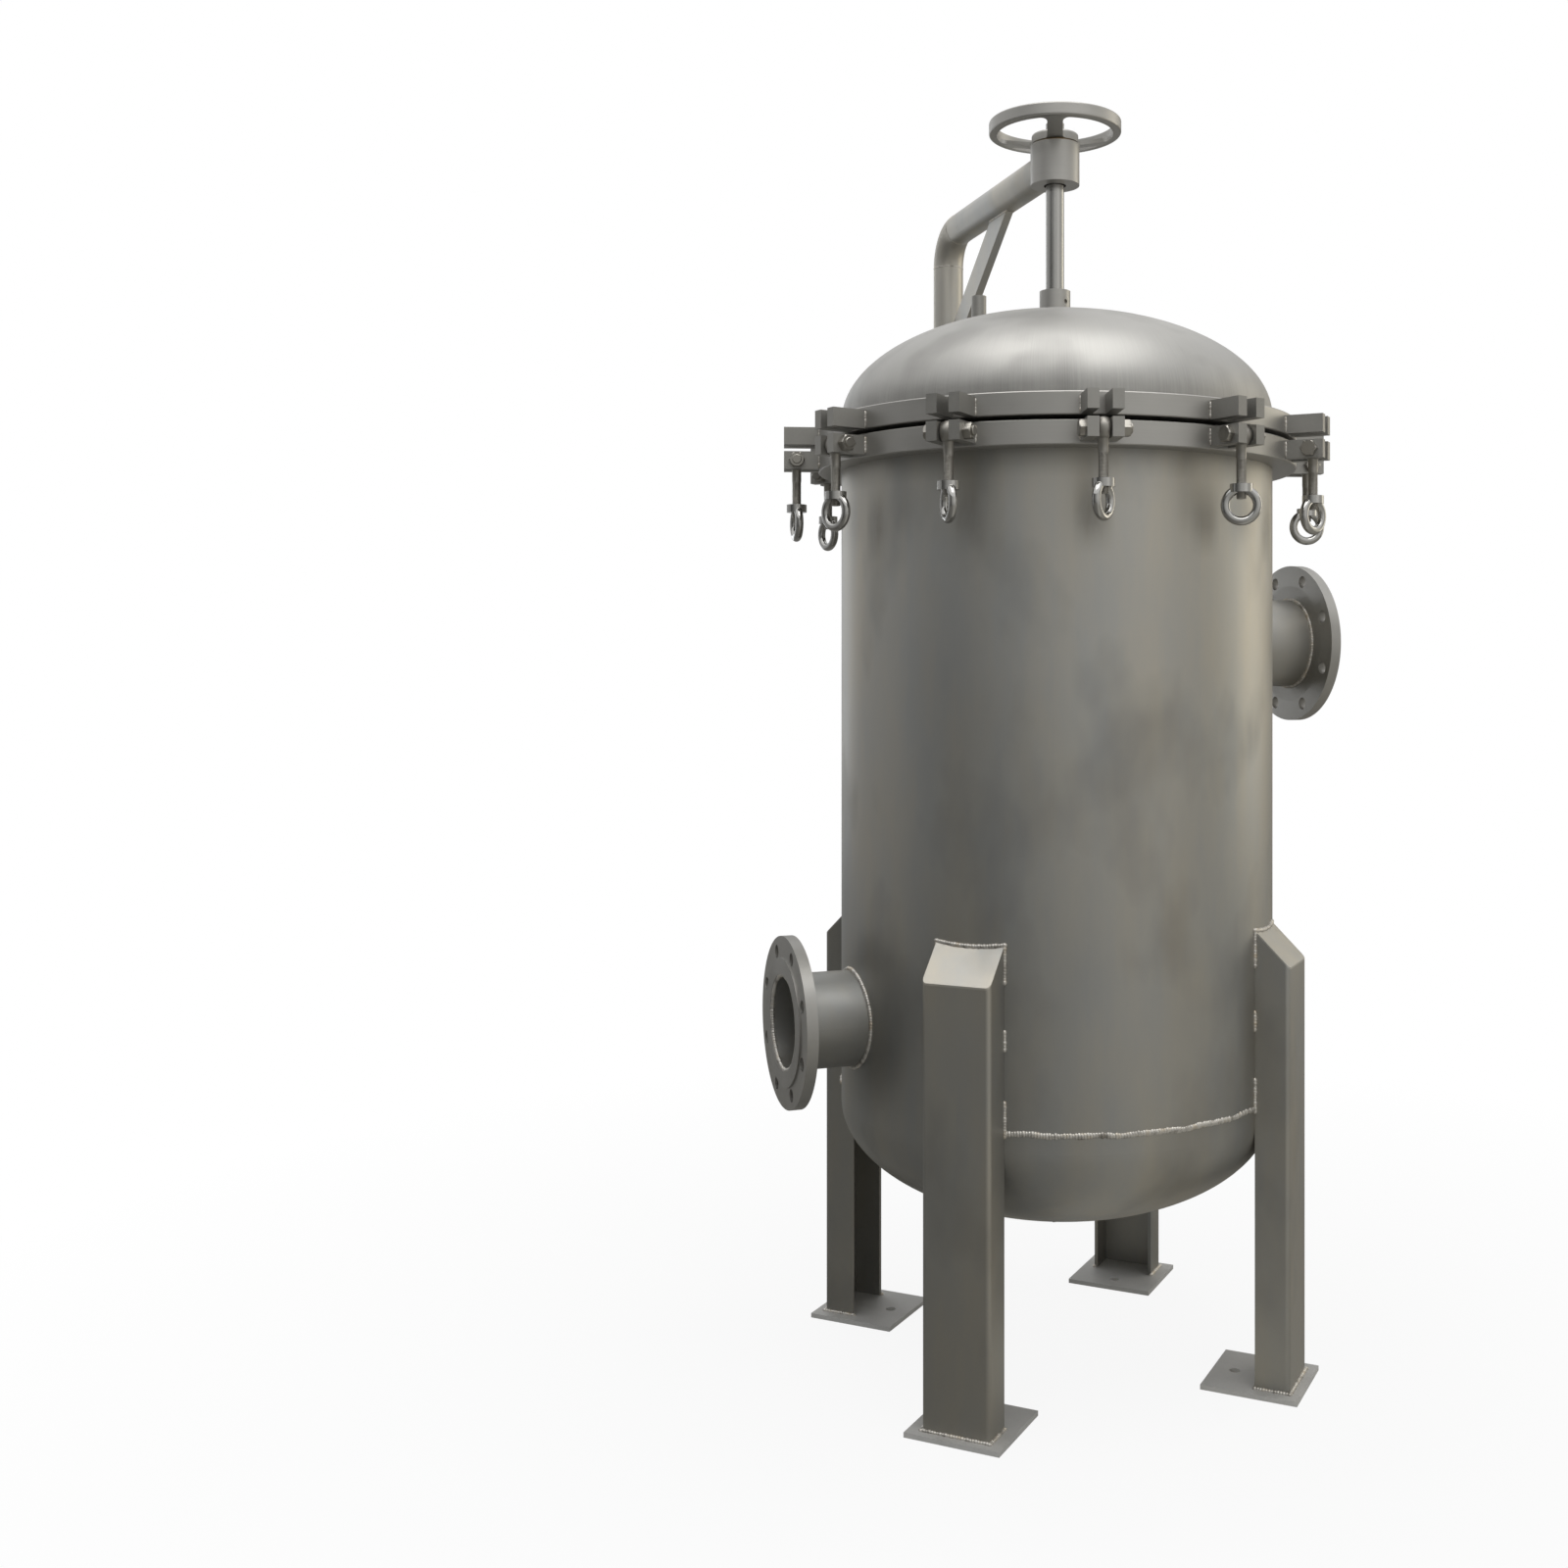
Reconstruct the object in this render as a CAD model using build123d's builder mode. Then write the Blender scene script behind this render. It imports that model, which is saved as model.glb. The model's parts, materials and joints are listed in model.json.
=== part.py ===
from build123d import *

import os
from math import cos, hypot, radians, sin, sqrt

# Multi-bag filter housing on four channel legs. A davit lifts its domed lid by a handwheel and
# swings it aside, and twelve swing bolts with eye nuts clamp it down. All sizes are millimetres.
#
# Frame: origin on the floor on the vessel's axis, +Z up, +X towards the inlet nozzle, -X towards
# the outlet nozzle, +Y towards the davit post. The swing bolts hang down and the lid hangs a
# finger's width above the body flange, ready to be lowered.

os.makedirs("parts", exist_ok=True)

# ---- Vessel shell ----
shell_od = 750
shell_wall = 4
seam_height = 466  # floor to the seam between barrel and bottom head
barrel_length = 1060
head_aspect = 2  # a head's radius over its depth
bottom_skirt = 30  # straight part of the bottom head

# ---- Closure: body flange, lid flange and O-ring ----
flange_reach = 40  # how far both closure rings stand out from the shell
body_ring_height = 38
lid_ring_height = 36
lid_hang = 7.5  # air between the body flange and the hanging lid
lid_skirt = 10.5  # straight part of the lid dome
ring_chamfer = 1.5
gasket_cord_dia = 10
gasket_radius = 390
groove_width = 12
groove_depth = 7

# ---- Clamps: lugs, pivot bolts, swing bolts and eye nuts ----
clamp_count = 12
first_clamp = 15  # degrees from +X
lug_thick = 18
lug_height = 30
lug_reach = 60  # how far a lug stands out from its ring
lug_slot = 20
body_lug_drop = 4  # top of the body flange to the top of its lugs
pivot_overhang = 22  # pivot to the outer end of the lugs
thread_dia = 16  # the pivot bolts, swing bolts and eye nuts are all M16
pin_clearance = 0.1  # radial, on the pivot
thread_clearance = 0.05  # radial, in every running thread
hex_width = 24
bolt_head_height = 10
nut_height = 13
nut_turn = 30  # degrees, against the bolt's head
thread_stick_out = 3
eye_dia = 35
eye_thick = 17
swing_bolt_length = 98  # pivot to the end of the shank
shank_chamfer = 1.5
nut_distance = 75  # pivot to the face of the eye nut
eye_nut_collar_dia = 35
eye_nut_collar_height = 13
eye_nut_ring_dia = 63  # outer diameter of its ring
eye_nut_wire_dia = 14
eye_nut_height = 64  # face to the far side of the ring
# Where each ring faces, in degrees from +X, as the nuts were left when they were slackened.
eye_nut_headings = (70, 20, 100, 340, 193, 176, 205, 175, 309, 240, 292, 257)

# ---- Nozzles: DN 150 pipe with PN 16 slip-on flanges ----
pipe_od = 159
pipe_wall = 4.5
inlet_height = 1233
outlet_height = 598
nozzle_face = 495  # vessel axis to each flange's raised face
nozzle_od = 285
nozzle_thick = 22
raised_face_dia = 212
raised_face_height = 3
pipe_setback = 5  # raised face to the end of the pipe
nozzle_bolt_circle_dia = 240
nozzle_bolts = 8
nozzle_bolt_hole_dia = 22

# ---- Legs and base plates ----
leg_count = 4
first_leg = 45
leg_width = 115
leg_wall = 6
leg_bend_radius = 8  # outer radius of the folded corners
leg_face = 428  # vessel axis to the outer face of a leg
leg_height = 700  # floor to the foot of the sloped cap
plate_size = 160
plate_thick = 8
plate_centre_radius = 365
anchor_hole_dia = 18
anchor_radius = 322

# ---- Bag plate, baskets and bags ----
bag_plate_height = 1100
bag_plate_thick = 12
outer_baskets = 6  # round a middle one
basket_pitch = 235
basket_od = 165
basket_wall = 1.5
basket_length = 720
basket_rim_dia = 186
basket_rim_thick = 4
basket_clearance = 2.5
bag_clearance = 0.5
bag_wall = 2.5
bag_rim_dia = 180
bag_rim_thick = 6
bag_bottom_gap = 6
retainer_edge = 2  # the retainer reaches this far past the outer baskets' rims
retainer_thick = 8
retainer_mouth_dia = 150
screw_dia = 12
screw_head_width = 18
screw_head_height = 8
screw_inset = 30  # edge of the retainer to the screws
screw_count = 3
first_screw = 30

# ---- Drain and vent ----
drain_od = 41
drain_bore = 30.2
drain_drop = 22  # lowest point of the head to the end of the coupling
drain_plug_width = 36
drain_plug_head = 8
drain_plug_depth = 16
vent_x = -80
vent_y = 161
vent_rise = 62  # top of the dome to the top of the vent socket
vent_od = 27
vent_bore = 18.6

# ---- Davit ----
post_distance = 533  # vessel axis to post axis
post_od = 60.3
post_wall = 3.6
arm_rise = 266.5  # top of the dome to the centre line of the arm
elbow_radius = 66
boss_od = 86
boss_drop = 37.5  # centre line of the arm to the bottom of the boss
boss_height = 70.5
boss_mouth = 13  # the guide bush starts this far inside the boss
guide_bush_od = 39
brace_depth = 50  # a flat bar standing on edge
brace_thick = 15
brace_drop = 257  # centre line of the arm to the brace's centre line at the post
brace_reach = 324  # post axis to where the brace meets the arm
socket_drop = 26  # underside of the body flange to the top of the socket
socket_height = 270
socket_wall = 5
bush_wall = 3
bush_length = 40
bush_collar = 3
post_clearance = 0.05  # radial, post in its bushes
post_end_gap = 0.2
socket_floor = 6
bracket_thick = 10
bracket_width = 120
bracket_inset = 25  # end of the socket to the nearer face of each bracket

# ---- Stem, its collar, and the handwheel ----
stem_dia = 32
stem_stand = 21  # top of the hub to the top of the stem
stem_chamfer = 2
keyway_width = 6
keyway_depth = 3
keyway_foot = 69.5  # top of the dome to the lower end of the keyway
key_clearance = 0.1
collar_od = 54
collar_height = 43  # top of the dome to the top of the collar
stem_foot_gap = 0.5  # top of the dome to the end of the stem
collar_pin_dia = 8
collar_pin_height = 22  # top of the dome to the pin
collar_pin_recess = 3
collar_pin_heading = 290
washer_od = 74
washer_bore = 34
washer_thick = 2.9
washer_clearance = 0.1
wheel_od = 232
rim_width = 14
rim_height = 22
rim_step = 3  # the upper half of the rim is this much thinner
rim_step_height = 11
rim_edge_radius = 3
hub_od = 82
hub_height = 16
hub_edge_radius = 4
stem_nut_od = 48
spoke_count = 3
first_spoke = 246
spoke_width = 27
spoke_thick = 7
rim_lift = 16  # the wheel is dished: bottom of the hub to the bottom of the rim
window_radius = 10

# ---- Worked out from the sizes above ----
shell_radius = shell_od / 2
inner_radius = shell_radius - shell_wall
head_depth = shell_radius / head_aspect
ring_radius = shell_radius + flange_reach
barrel_top = seam_height + barrel_length
bottom_centre = seam_height - bottom_skirt
bottom_lowest = bottom_centre - head_depth
body_ring_top = barrel_top + body_ring_height
lid_ring_bottom = body_ring_top + lid_hang
lid_ring_top = lid_ring_bottom + lid_ring_height
dome_centre = lid_ring_top + lid_skirt
dome_top = dome_centre + head_depth
lug_tip = ring_radius + lug_reach
lug_offset = (lug_slot + lug_thick) / 2
lug_half_span = lug_slot / 2 + lug_thick
body_lug_top = body_ring_top - body_lug_drop
pivot_radius = lug_tip - pivot_overhang
pivot_height = body_lug_top - lug_height / 2
thread_radius = thread_dia / 2
pivot_hole_radius = thread_radius + pin_clearance
shank_radius = thread_radius - thread_clearance
nut_hole_radius = shank_radius + 2 * thread_clearance
eye_nut_ring_radius = (eye_nut_ring_dia - eye_nut_wire_dia) / 2
pipe_radius = pipe_od / 2
basket_radius = basket_od / 2
basket_bottom = bag_plate_height + basket_rim_thick - basket_length
bag_seat = bag_plate_height + basket_rim_thick
bag_radius = basket_radius - basket_wall - bag_clearance
retainer_bottom = bag_seat + bag_rim_thick
retainer_radius = basket_pitch + basket_rim_dia / 2 + retainer_edge
screw_radius = retainer_radius - screw_inset
post_radius = post_od / 2
arm_run = post_distance - elbow_radius
arm_height = dome_top + arm_rise
boss_bottom = arm_height - boss_drop
boss_top = boss_bottom + boss_height
boss_radius = boss_od / 2
bush_bore = post_radius + post_clearance
bush_radius = bush_bore + bush_wall
socket_radius = bush_radius + socket_wall
socket_top = barrel_top - socket_drop
socket_bottom = socket_top - socket_height
stem_radius = stem_dia / 2
stem_bore = stem_radius + thread_clearance
hub_bottom = boss_top + washer_thick + washer_clearance
rim_bottom = hub_bottom + rim_lift
stem_top = hub_bottom + hub_height + stem_stand
keyway_start = dome_top + keyway_foot
vent_top = dome_top + vent_rise
brace_foot = arm_height - brace_drop
clamp_angles = [first_clamp + 360 / clamp_count * step for step in range(clamp_count)]


def radial_plane(angle, radius=0, height=0):
    """A plane standing along the radius at this angle: x outwards, y up, z sideways."""
    turn = radians(angle)
    place = (radius * cos(turn), radius * sin(turn), height)
    return Plane(origin=place, x_dir=(cos(turn), sin(turn), 0), z_dir=(sin(turn), -cos(turn), 0))


def nozzle_plane(angle, height, distance=0):
    """A plane across a nozzle: z points out along the nozzle at this angle."""
    turn = radians(angle)
    place = (distance * cos(turn), distance * sin(turn), height)
    return Plane(origin=place, x_dir=(-sin(turn), cos(turn), 0), z_dir=(cos(turn), sin(turn), 0))


def head_arc(centre, radius, up):
    """A head's half ellipse from its rim to its middle, for an open BuildLine on Plane.XZ."""
    start, sweep = (0, 90) if up > 0 else (360, -90)
    return EllipticalCenterArc(
        (0, centre), radius, radius / head_aspect, start_angle=start, arc_size=sweep
    )


def head_wall(centre, skirt, up):
    """Half section of a dished head on Plane.XZ, with its skirt on the side away from up."""
    edge = centre - up * skirt
    with BuildSketch(Plane.XZ) as section:
        with BuildLine():
            outer = head_arc(centre, shell_radius, up)
            inner = head_arc(centre, inner_radius, up)
            add([outer, inner])
            Polyline(outer @ 0, (shell_radius, edge), (inner_radius, edge), inner @ 0)
            Line(outer @ 1, inner @ 1)
        make_face()
    return section.sketch


def head_bulk(centre, up):
    """Half section on Plane.XZ of all that lies inside a head's outer surface."""
    with BuildSketch(Plane.XZ) as section:
        with BuildLine():
            outer = head_arc(centre, shell_radius, up)
            add(outer)
            Polyline(outer @ 1, (0, centre), outer @ 0)
        make_face()
    return section.sketch


def save(part, label):
    part.label = label
    export_step(part, f"parts/{label}.step")


# ---- Pressure vessel ----
with BuildPart() as shell_barrel:
    with BuildSketch(Plane.XY.offset(seam_height)):
        Circle(shell_radius)
        Circle(inner_radius, mode=Mode.SUBTRACT)
    extrude(amount=barrel_length)
    with BuildSketch(nozzle_plane(0, inlet_height), nozzle_plane(180, outlet_height)):
        Circle(pipe_radius)
    extrude(amount=shell_od, mode=Mode.SUBTRACT)
save(shell_barrel.part, "shell_barrel")

with BuildPart() as bottom_head:
    revolve(head_wall(bottom_centre, bottom_skirt, up=-1), axis=Axis.Z)
    with BuildSketch(Plane.XY.offset(bottom_lowest - drain_drop)):
        Circle(drain_bore / 2)
    extrude(amount=head_depth, mode=Mode.SUBTRACT)
save(bottom_head.part, "bottom_head")

with BuildPart() as body_flange:
    with BuildSketch(Plane.XY.offset(barrel_top)):
        Circle(ring_radius)
        Circle(inner_radius, mode=Mode.SUBTRACT)
    extrude(amount=body_ring_height)
    rims = body_flange.edges().filter_by(GeomType.CIRCLE)
    chamfer(rims.filter_by(lambda rim: rim.radius > shell_radius), length=ring_chamfer)
    with BuildSketch(Plane.XY.offset(body_ring_top)):
        Circle(gasket_radius + groove_width / 2)
        Circle(gasket_radius - groove_width / 2, mode=Mode.SUBTRACT)
    extrude(amount=-groove_depth, mode=Mode.SUBTRACT)
save(body_flange.part, "body_flange")

with BuildPart() as lid_gasket:
    with BuildSketch(Plane.XZ):
        with Locations((gasket_radius, body_ring_top - groove_depth + gasket_cord_dia / 2)):
            Circle(gasket_cord_dia / 2)
    revolve(axis=Axis.Z)
save(lid_gasket.part, "lid_gasket")


def lug_pattern(height):
    """Plan of the pairs of lugs that stand out from a closure ring."""
    with BuildSketch(Plane.XY.offset(height)) as pattern:
        with PolarLocations(ring_radius, clamp_count, start_angle=first_clamp):
            with Locations((0, lug_offset), (0, -lug_offset)):
                Rectangle(2 * lug_reach, lug_thick)
        Circle(ring_radius, mode=Mode.SUBTRACT)
    return pattern.sketch


pivot_planes = [radial_plane(angle, pivot_radius, pivot_height) for angle in clamp_angles]
with BuildPart() as body_lugs:
    extrude(lug_pattern(body_lug_top - lug_height), amount=lug_height)
    with BuildSketch(*pivot_planes):
        Circle(pivot_hole_radius)
    extrude(amount=2 * lug_half_span, both=True, mode=Mode.SUBTRACT)
save(body_lugs.part, "body_lugs")

with BuildPart() as pivot_bolts:
    with BuildSketch(*[plane.offset(-lug_half_span) for plane in pivot_planes]):
        Circle(thread_radius)
    extrude(amount=2 * lug_half_span + nut_height + thread_stick_out)
    with BuildSketch(*[plane.offset(-lug_half_span) for plane in pivot_planes]):
        RegularPolygon(hex_width / 2, 6, major_radius=False)
    extrude(amount=-bolt_head_height)
with BuildPart() as pivot_nuts:
    with BuildSketch(*[plane.offset(lug_half_span) for plane in pivot_planes]):
        RegularPolygon(hex_width / 2, 6, major_radius=False, rotation=nut_turn)
        Circle(thread_radius, mode=Mode.SUBTRACT)
    extrude(amount=nut_height)
save(Compound(pivot_bolts.solids() + pivot_nuts.solids()), "pivot_bolts")

# ---- Nozzles ----
for name, angle, height in (("inlet", 0, inlet_height), ("outlet", 180, outlet_height)):
    with BuildPart() as nozzle_pipe:
        with BuildSketch(nozzle_plane(angle, height)):
            Circle(pipe_radius)
            Circle(pipe_radius - pipe_wall, mode=Mode.SUBTRACT)
        extrude(amount=nozzle_face - pipe_setback)
        with Locations((0, 0, height)):
            Cylinder(inner_radius, pipe_od * 2, mode=Mode.SUBTRACT)
    save(nozzle_pipe.part, f"{name}_pipe")

    with BuildPart() as nozzle_flange:
        plate_face = nozzle_plane(angle, height, nozzle_face - raised_face_height)
        with BuildSketch(plate_face):
            Circle(nozzle_od / 2)
            nozzle_bolt_radius = nozzle_bolt_circle_dia / 2
            with PolarLocations(nozzle_bolt_radius, nozzle_bolts, start_angle=180 / nozzle_bolts):
                Circle(nozzle_bolt_hole_dia / 2, mode=Mode.SUBTRACT)
        extrude(amount=raised_face_height - nozzle_thick)
        with BuildSketch(plate_face):
            Circle(raised_face_dia / 2)
        extrude(amount=raised_face_height)
        with BuildSketch(nozzle_plane(angle, height)):
            Circle(pipe_radius)
        extrude(amount=nozzle_face, mode=Mode.SUBTRACT)
    save(nozzle_flange.part, f"{name}_flange")

# ---- Legs ----
leg_angles = [first_leg + 360 / leg_count * step for step in range(leg_count)]
leg_planes = [radial_plane(angle) for angle in leg_angles]
leg_edge = sqrt(shell_radius**2 - (leg_width / 2) ** 2)  # where the leg's sides meet the shell
cap_top = leg_height + leg_face - leg_edge
cap_drop = leg_wall * sqrt(2)
with BuildPart() as legs:
    with BuildSketch(*leg_planes):
        with BuildLine():
            Polyline(
                (leg_edge, plate_thick),
                (leg_face, plate_thick),
                (leg_face, leg_height),
                (leg_edge, cap_top),
                close=True,
            )
        make_face()
    extrude(amount=leg_width / 2, both=True)
    uprights = legs.edges().filter_by(Axis.Z)
    corners = uprights.filter_by(lambda edge: hypot(edge.center().X, edge.center().Y) > leg_face)
    fillet(corners, radius=leg_bend_radius)
    with BuildSketch(*leg_planes):
        with BuildLine():
            inside = leg_face - leg_wall
            Polyline(
                (leg_edge - leg_wall, 0),
                (inside, 0),
                (inside, leg_height + leg_wall - cap_drop),
                (leg_edge - leg_wall, cap_top + leg_wall - cap_drop),
                close=True,
            )
        make_face()
    extrude(amount=leg_width / 2 - leg_wall, both=True, mode=Mode.SUBTRACT)
    with Locations((0, 0, seam_height)):
        Cylinder(shell_radius, 2 * cap_top, mode=Mode.SUBTRACT)
save(legs.part, "legs")

with BuildPart() as base_plates:
    with BuildSketch():
        with PolarLocations(plate_centre_radius, leg_count, start_angle=first_leg):
            Rectangle(plate_size, plate_size)
        with PolarLocations(anchor_radius, leg_count, start_angle=first_leg):
            Circle(anchor_hole_dia / 2, mode=Mode.SUBTRACT)
    extrude(amount=plate_thick)
save(base_plates.part, "base_plates")

# ---- Bag plate, baskets, bags and their retainer ----
basket_turns = [radians(360 / outer_baskets * step) for step in range(outer_baskets)]
basket_places = [(0, 0)]
basket_places += [(basket_pitch * cos(turn), basket_pitch * sin(turn)) for turn in basket_turns]

with BuildPart() as bag_plate:
    with BuildSketch(Plane.XY.offset(bag_plate_height)):
        Circle(inner_radius)
        with Locations(*basket_places):
            Circle(basket_radius + basket_clearance, mode=Mode.SUBTRACT)
        with PolarLocations(screw_radius, screw_count, start_angle=first_screw):
            Circle(screw_dia / 2, mode=Mode.SUBTRACT)
    extrude(amount=-bag_plate_thick)
save(bag_plate.part, "bag_plate")

with BuildPart() as bag_baskets:
    with BuildSketch(Plane.XY.offset(basket_bottom)):
        with Locations(*basket_places):
            Circle(basket_radius)
    extrude(amount=basket_length)
    with BuildSketch(Plane.XY.offset(bag_plate_height)):
        with Locations(*basket_places):
            Circle(basket_rim_dia / 2)
    extrude(amount=basket_rim_thick)
    with BuildSketch(Plane.XY.offset(basket_bottom + basket_wall)):
        with Locations(*basket_places):
            Circle(basket_radius - basket_wall)
    extrude(amount=basket_length, mode=Mode.SUBTRACT)
save(bag_baskets.part, "bag_baskets")

with BuildPart() as filter_bags:
    bag_bottom = basket_bottom + bag_bottom_gap
    with BuildSketch(Plane.XY.offset(bag_bottom)):
        with Locations(*basket_places):
            Circle(bag_radius)
    extrude(amount=bag_seat - bag_bottom)
    with BuildSketch(Plane.XY.offset(bag_seat)):
        with Locations(*basket_places):
            Circle(bag_rim_dia / 2)
    extrude(amount=bag_rim_thick)
    with BuildSketch(Plane.XY.offset(bag_bottom + bag_wall)):
        with Locations(*basket_places):
            Circle(bag_radius - bag_wall)
    extrude(amount=basket_length, mode=Mode.SUBTRACT)
save(filter_bags.part, "filter_bags")

with BuildPart() as bag_retainer:
    with BuildSketch(Plane.XY.offset(retainer_bottom)):
        Circle(retainer_radius)
        with Locations(*basket_places):
            Circle(retainer_mouth_dia / 2, mode=Mode.SUBTRACT)
        with PolarLocations(screw_radius, screw_count, start_angle=first_screw):
            Circle(screw_dia / 2 + pin_clearance, mode=Mode.SUBTRACT)
    extrude(amount=retainer_thick)
save(bag_retainer.part, "bag_retainer")

with BuildPart() as retainer_screws:
    with BuildSketch(Plane.XY.offset(bag_plate_height - bag_plate_thick)):
        with PolarLocations(screw_radius, screw_count, start_angle=first_screw):
            Circle(screw_dia / 2)
    extrude(amount=retainer_bottom + retainer_thick - bag_plate_height + bag_plate_thick)
    with BuildSketch(Plane.XY.offset(retainer_bottom + retainer_thick)):
        with PolarLocations(screw_radius, screw_count, start_angle=first_screw):
            RegularPolygon(screw_head_width / 2, 6, major_radius=False)
    extrude(amount=screw_head_height)
save(retainer_screws.part, "retainer_screws")

# ---- Drain ----
drain_end = bottom_lowest - drain_drop
with BuildPart() as drain_coupling:
    with BuildSketch(Plane.XY.offset(drain_end)):
        Circle(drain_od / 2)
    extrude(amount=drain_drop + drain_od / 2)
    revolve(head_bulk(bottom_centre, up=-1), axis=Axis.Z, mode=Mode.SUBTRACT)
    with BuildSketch(Plane.XY.offset(drain_end)):
        Circle(drain_bore / 2)
    extrude(amount=head_depth, mode=Mode.SUBTRACT)
save(drain_coupling.part, "drain_coupling")

with BuildPart() as drain_plug:
    with BuildSketch(Plane.XY.offset(drain_end)):
        Circle(drain_bore / 2)
    extrude(amount=drain_plug_depth)
    with BuildSketch(Plane.XY.offset(drain_end)):
        RegularPolygon(drain_plug_width / 2, 6, major_radius=False)
    extrude(amount=-drain_plug_head)
save(drain_plug.part, "drain_plug")

# ---- Lid ----
with BuildPart() as lid_flange:
    with BuildSketch(Plane.XY.offset(lid_ring_bottom)):
        Circle(ring_radius)
        Circle(inner_radius, mode=Mode.SUBTRACT)
    extrude(amount=lid_ring_height)
    rims = lid_flange.edges().filter_by(GeomType.CIRCLE)
    chamfer(rims.filter_by(lambda rim: rim.radius > shell_radius), length=ring_chamfer)
save(lid_flange.part, "lid_flange")

with BuildPart() as lid_lugs:
    extrude(lug_pattern(lid_ring_bottom), amount=lug_height)
save(lid_lugs.part, "lid_lugs")

with BuildPart() as lid_dome:
    revolve(head_wall(dome_centre, lid_skirt, up=1), axis=Axis.Z)
    with BuildSketch(Plane.XY.offset(dome_centre)):
        with Locations((vent_x, vent_y)):
            Circle(vent_bore / 2)
    extrude(amount=head_depth, mode=Mode.SUBTRACT)
save(lid_dome.part, "lid_dome")

with BuildPart() as vent_socket:
    with BuildSketch(Plane.XY.offset(dome_centre)):
        with Locations((vent_x, vent_y)):
            Circle(vent_od / 2)
            Circle(vent_bore / 2, mode=Mode.SUBTRACT)
    extrude(amount=vent_top - dome_centre)
    revolve(head_bulk(dome_centre, up=1), axis=Axis.Z, mode=Mode.SUBTRACT)
save(vent_socket.part, "vent_socket")

pin_plane = nozzle_plane(collar_pin_heading, dome_top + collar_pin_height)
with BuildPart() as stem_collar:
    with BuildSketch(Plane.XY.offset(dome_top - shell_wall)):
        Circle(collar_od / 2)
    extrude(amount=collar_height + shell_wall)
    revolve(head_bulk(dome_centre, up=1), axis=Axis.Z, mode=Mode.SUBTRACT)
    with BuildSketch(Plane.XY.offset(dome_top - shell_wall)):
        Circle(stem_radius)
    extrude(amount=2 * collar_height, mode=Mode.SUBTRACT)
    with BuildSketch(pin_plane):
        Circle(collar_pin_dia / 2)
    extrude(amount=collar_od, both=True, mode=Mode.SUBTRACT)
save(stem_collar.part, "stem_collar")

with BuildPart() as collar_pin:
    with BuildSketch(pin_plane):
        Circle(collar_pin_dia / 2)
    extrude(amount=collar_od / 2 - collar_pin_recess, both=True)
save(collar_pin.part, "collar_pin")

with BuildPart() as stem:
    with BuildSketch(Plane.XY.offset(dome_top + stem_foot_gap)):
        Circle(stem_radius)
    extrude(amount=stem_top - dome_top - stem_foot_gap)
    chamfer(stem.faces().sort_by(Axis.Z)[-1].edges(), length=stem_chamfer)
    with BuildSketch(Plane.XY.offset(keyway_start)):
        with Locations((0, stem_radius)):
            Rectangle(keyway_width, 2 * keyway_depth)
    extrude(amount=stem_top - keyway_start, mode=Mode.SUBTRACT)
    with BuildSketch(pin_plane):
        Circle(collar_pin_dia / 2)
    extrude(amount=collar_od, both=True, mode=Mode.SUBTRACT)
save(stem.part, "stem")

# ---- Davit ----
with BuildPart() as davit_socket:
    with BuildSketch(Plane.XY.offset(socket_bottom)):
        with Locations((0, post_distance)):
            Circle(socket_radius)
    extrude(amount=socket_height)
    with BuildSketch(Plane.XY.offset(socket_bottom + socket_floor)):
        with Locations((0, post_distance)):
            Circle(bush_radius)
    extrude(amount=socket_height, mode=Mode.SUBTRACT)
save(davit_socket.part, "davit_socket")

with BuildPart() as socket_bushes:
    bush_starts = (socket_bottom + socket_floor, socket_top - bush_length)
    with BuildSketch(*[Plane.XY.offset(start) for start in bush_starts]):
        with Locations((0, post_distance)):
            Circle(bush_radius)
            Circle(bush_bore, mode=Mode.SUBTRACT)
    extrude(amount=bush_length)
    with BuildSketch(Plane.XY.offset(socket_top)):
        with Locations((0, post_distance)):
            Circle(socket_radius)
            Circle(bush_bore, mode=Mode.SUBTRACT)
    extrude(amount=bush_collar)
save(socket_bushes.part, "socket_bushes")

with BuildPart() as davit_brackets:
    lower = socket_bottom + bracket_inset
    upper = socket_top - bracket_inset - bracket_thick
    with BuildSketch(Plane.XY.offset(lower), Plane.XY.offset(upper)):
        with Locations((0, post_distance / 2)):
            Rectangle(bracket_width, post_distance)
        with Locations((0, post_distance)):
            Circle(bracket_width / 2)
        Circle(shell_radius, mode=Mode.SUBTRACT)
        with Locations((0, post_distance)):
            Circle(socket_radius, mode=Mode.SUBTRACT)
    extrude(amount=bracket_thick)
    with BuildSketch(Plane.XY.offset(lower + bracket_thick)):
        with Locations((0, post_distance / 2)):
            Rectangle(bracket_thick, post_distance)
        Circle(shell_radius, mode=Mode.SUBTRACT)
        with Locations((0, post_distance)):
            Circle(socket_radius, mode=Mode.SUBTRACT)
    extrude(amount=upper - lower - bracket_thick)
save(davit_brackets.part, "davit_brackets")

with BuildPart() as davit_pipe:
    post_foot = socket_bottom + socket_floor + post_end_gap
    with BuildLine(Plane.YZ) as route:
        Line((post_distance, post_foot), (post_distance, arm_height - elbow_radius))
        RadiusArc(
            (post_distance, arm_height - elbow_radius), (arm_run, arm_height), -elbow_radius
        )
        Line((arm_run, arm_height), (0, arm_height))
    with BuildSketch(Plane.XY.offset(post_foot)):
        with Locations((0, post_distance)):
            Circle(post_radius)
            Circle(post_radius - post_wall, mode=Mode.SUBTRACT)
    sweep(path=route.line)
    with Locations((0, 0, arm_height)):
        Cylinder(boss_radius, boss_height * 2, mode=Mode.SUBTRACT)
save(davit_pipe.part, "davit_pipe")

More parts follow.
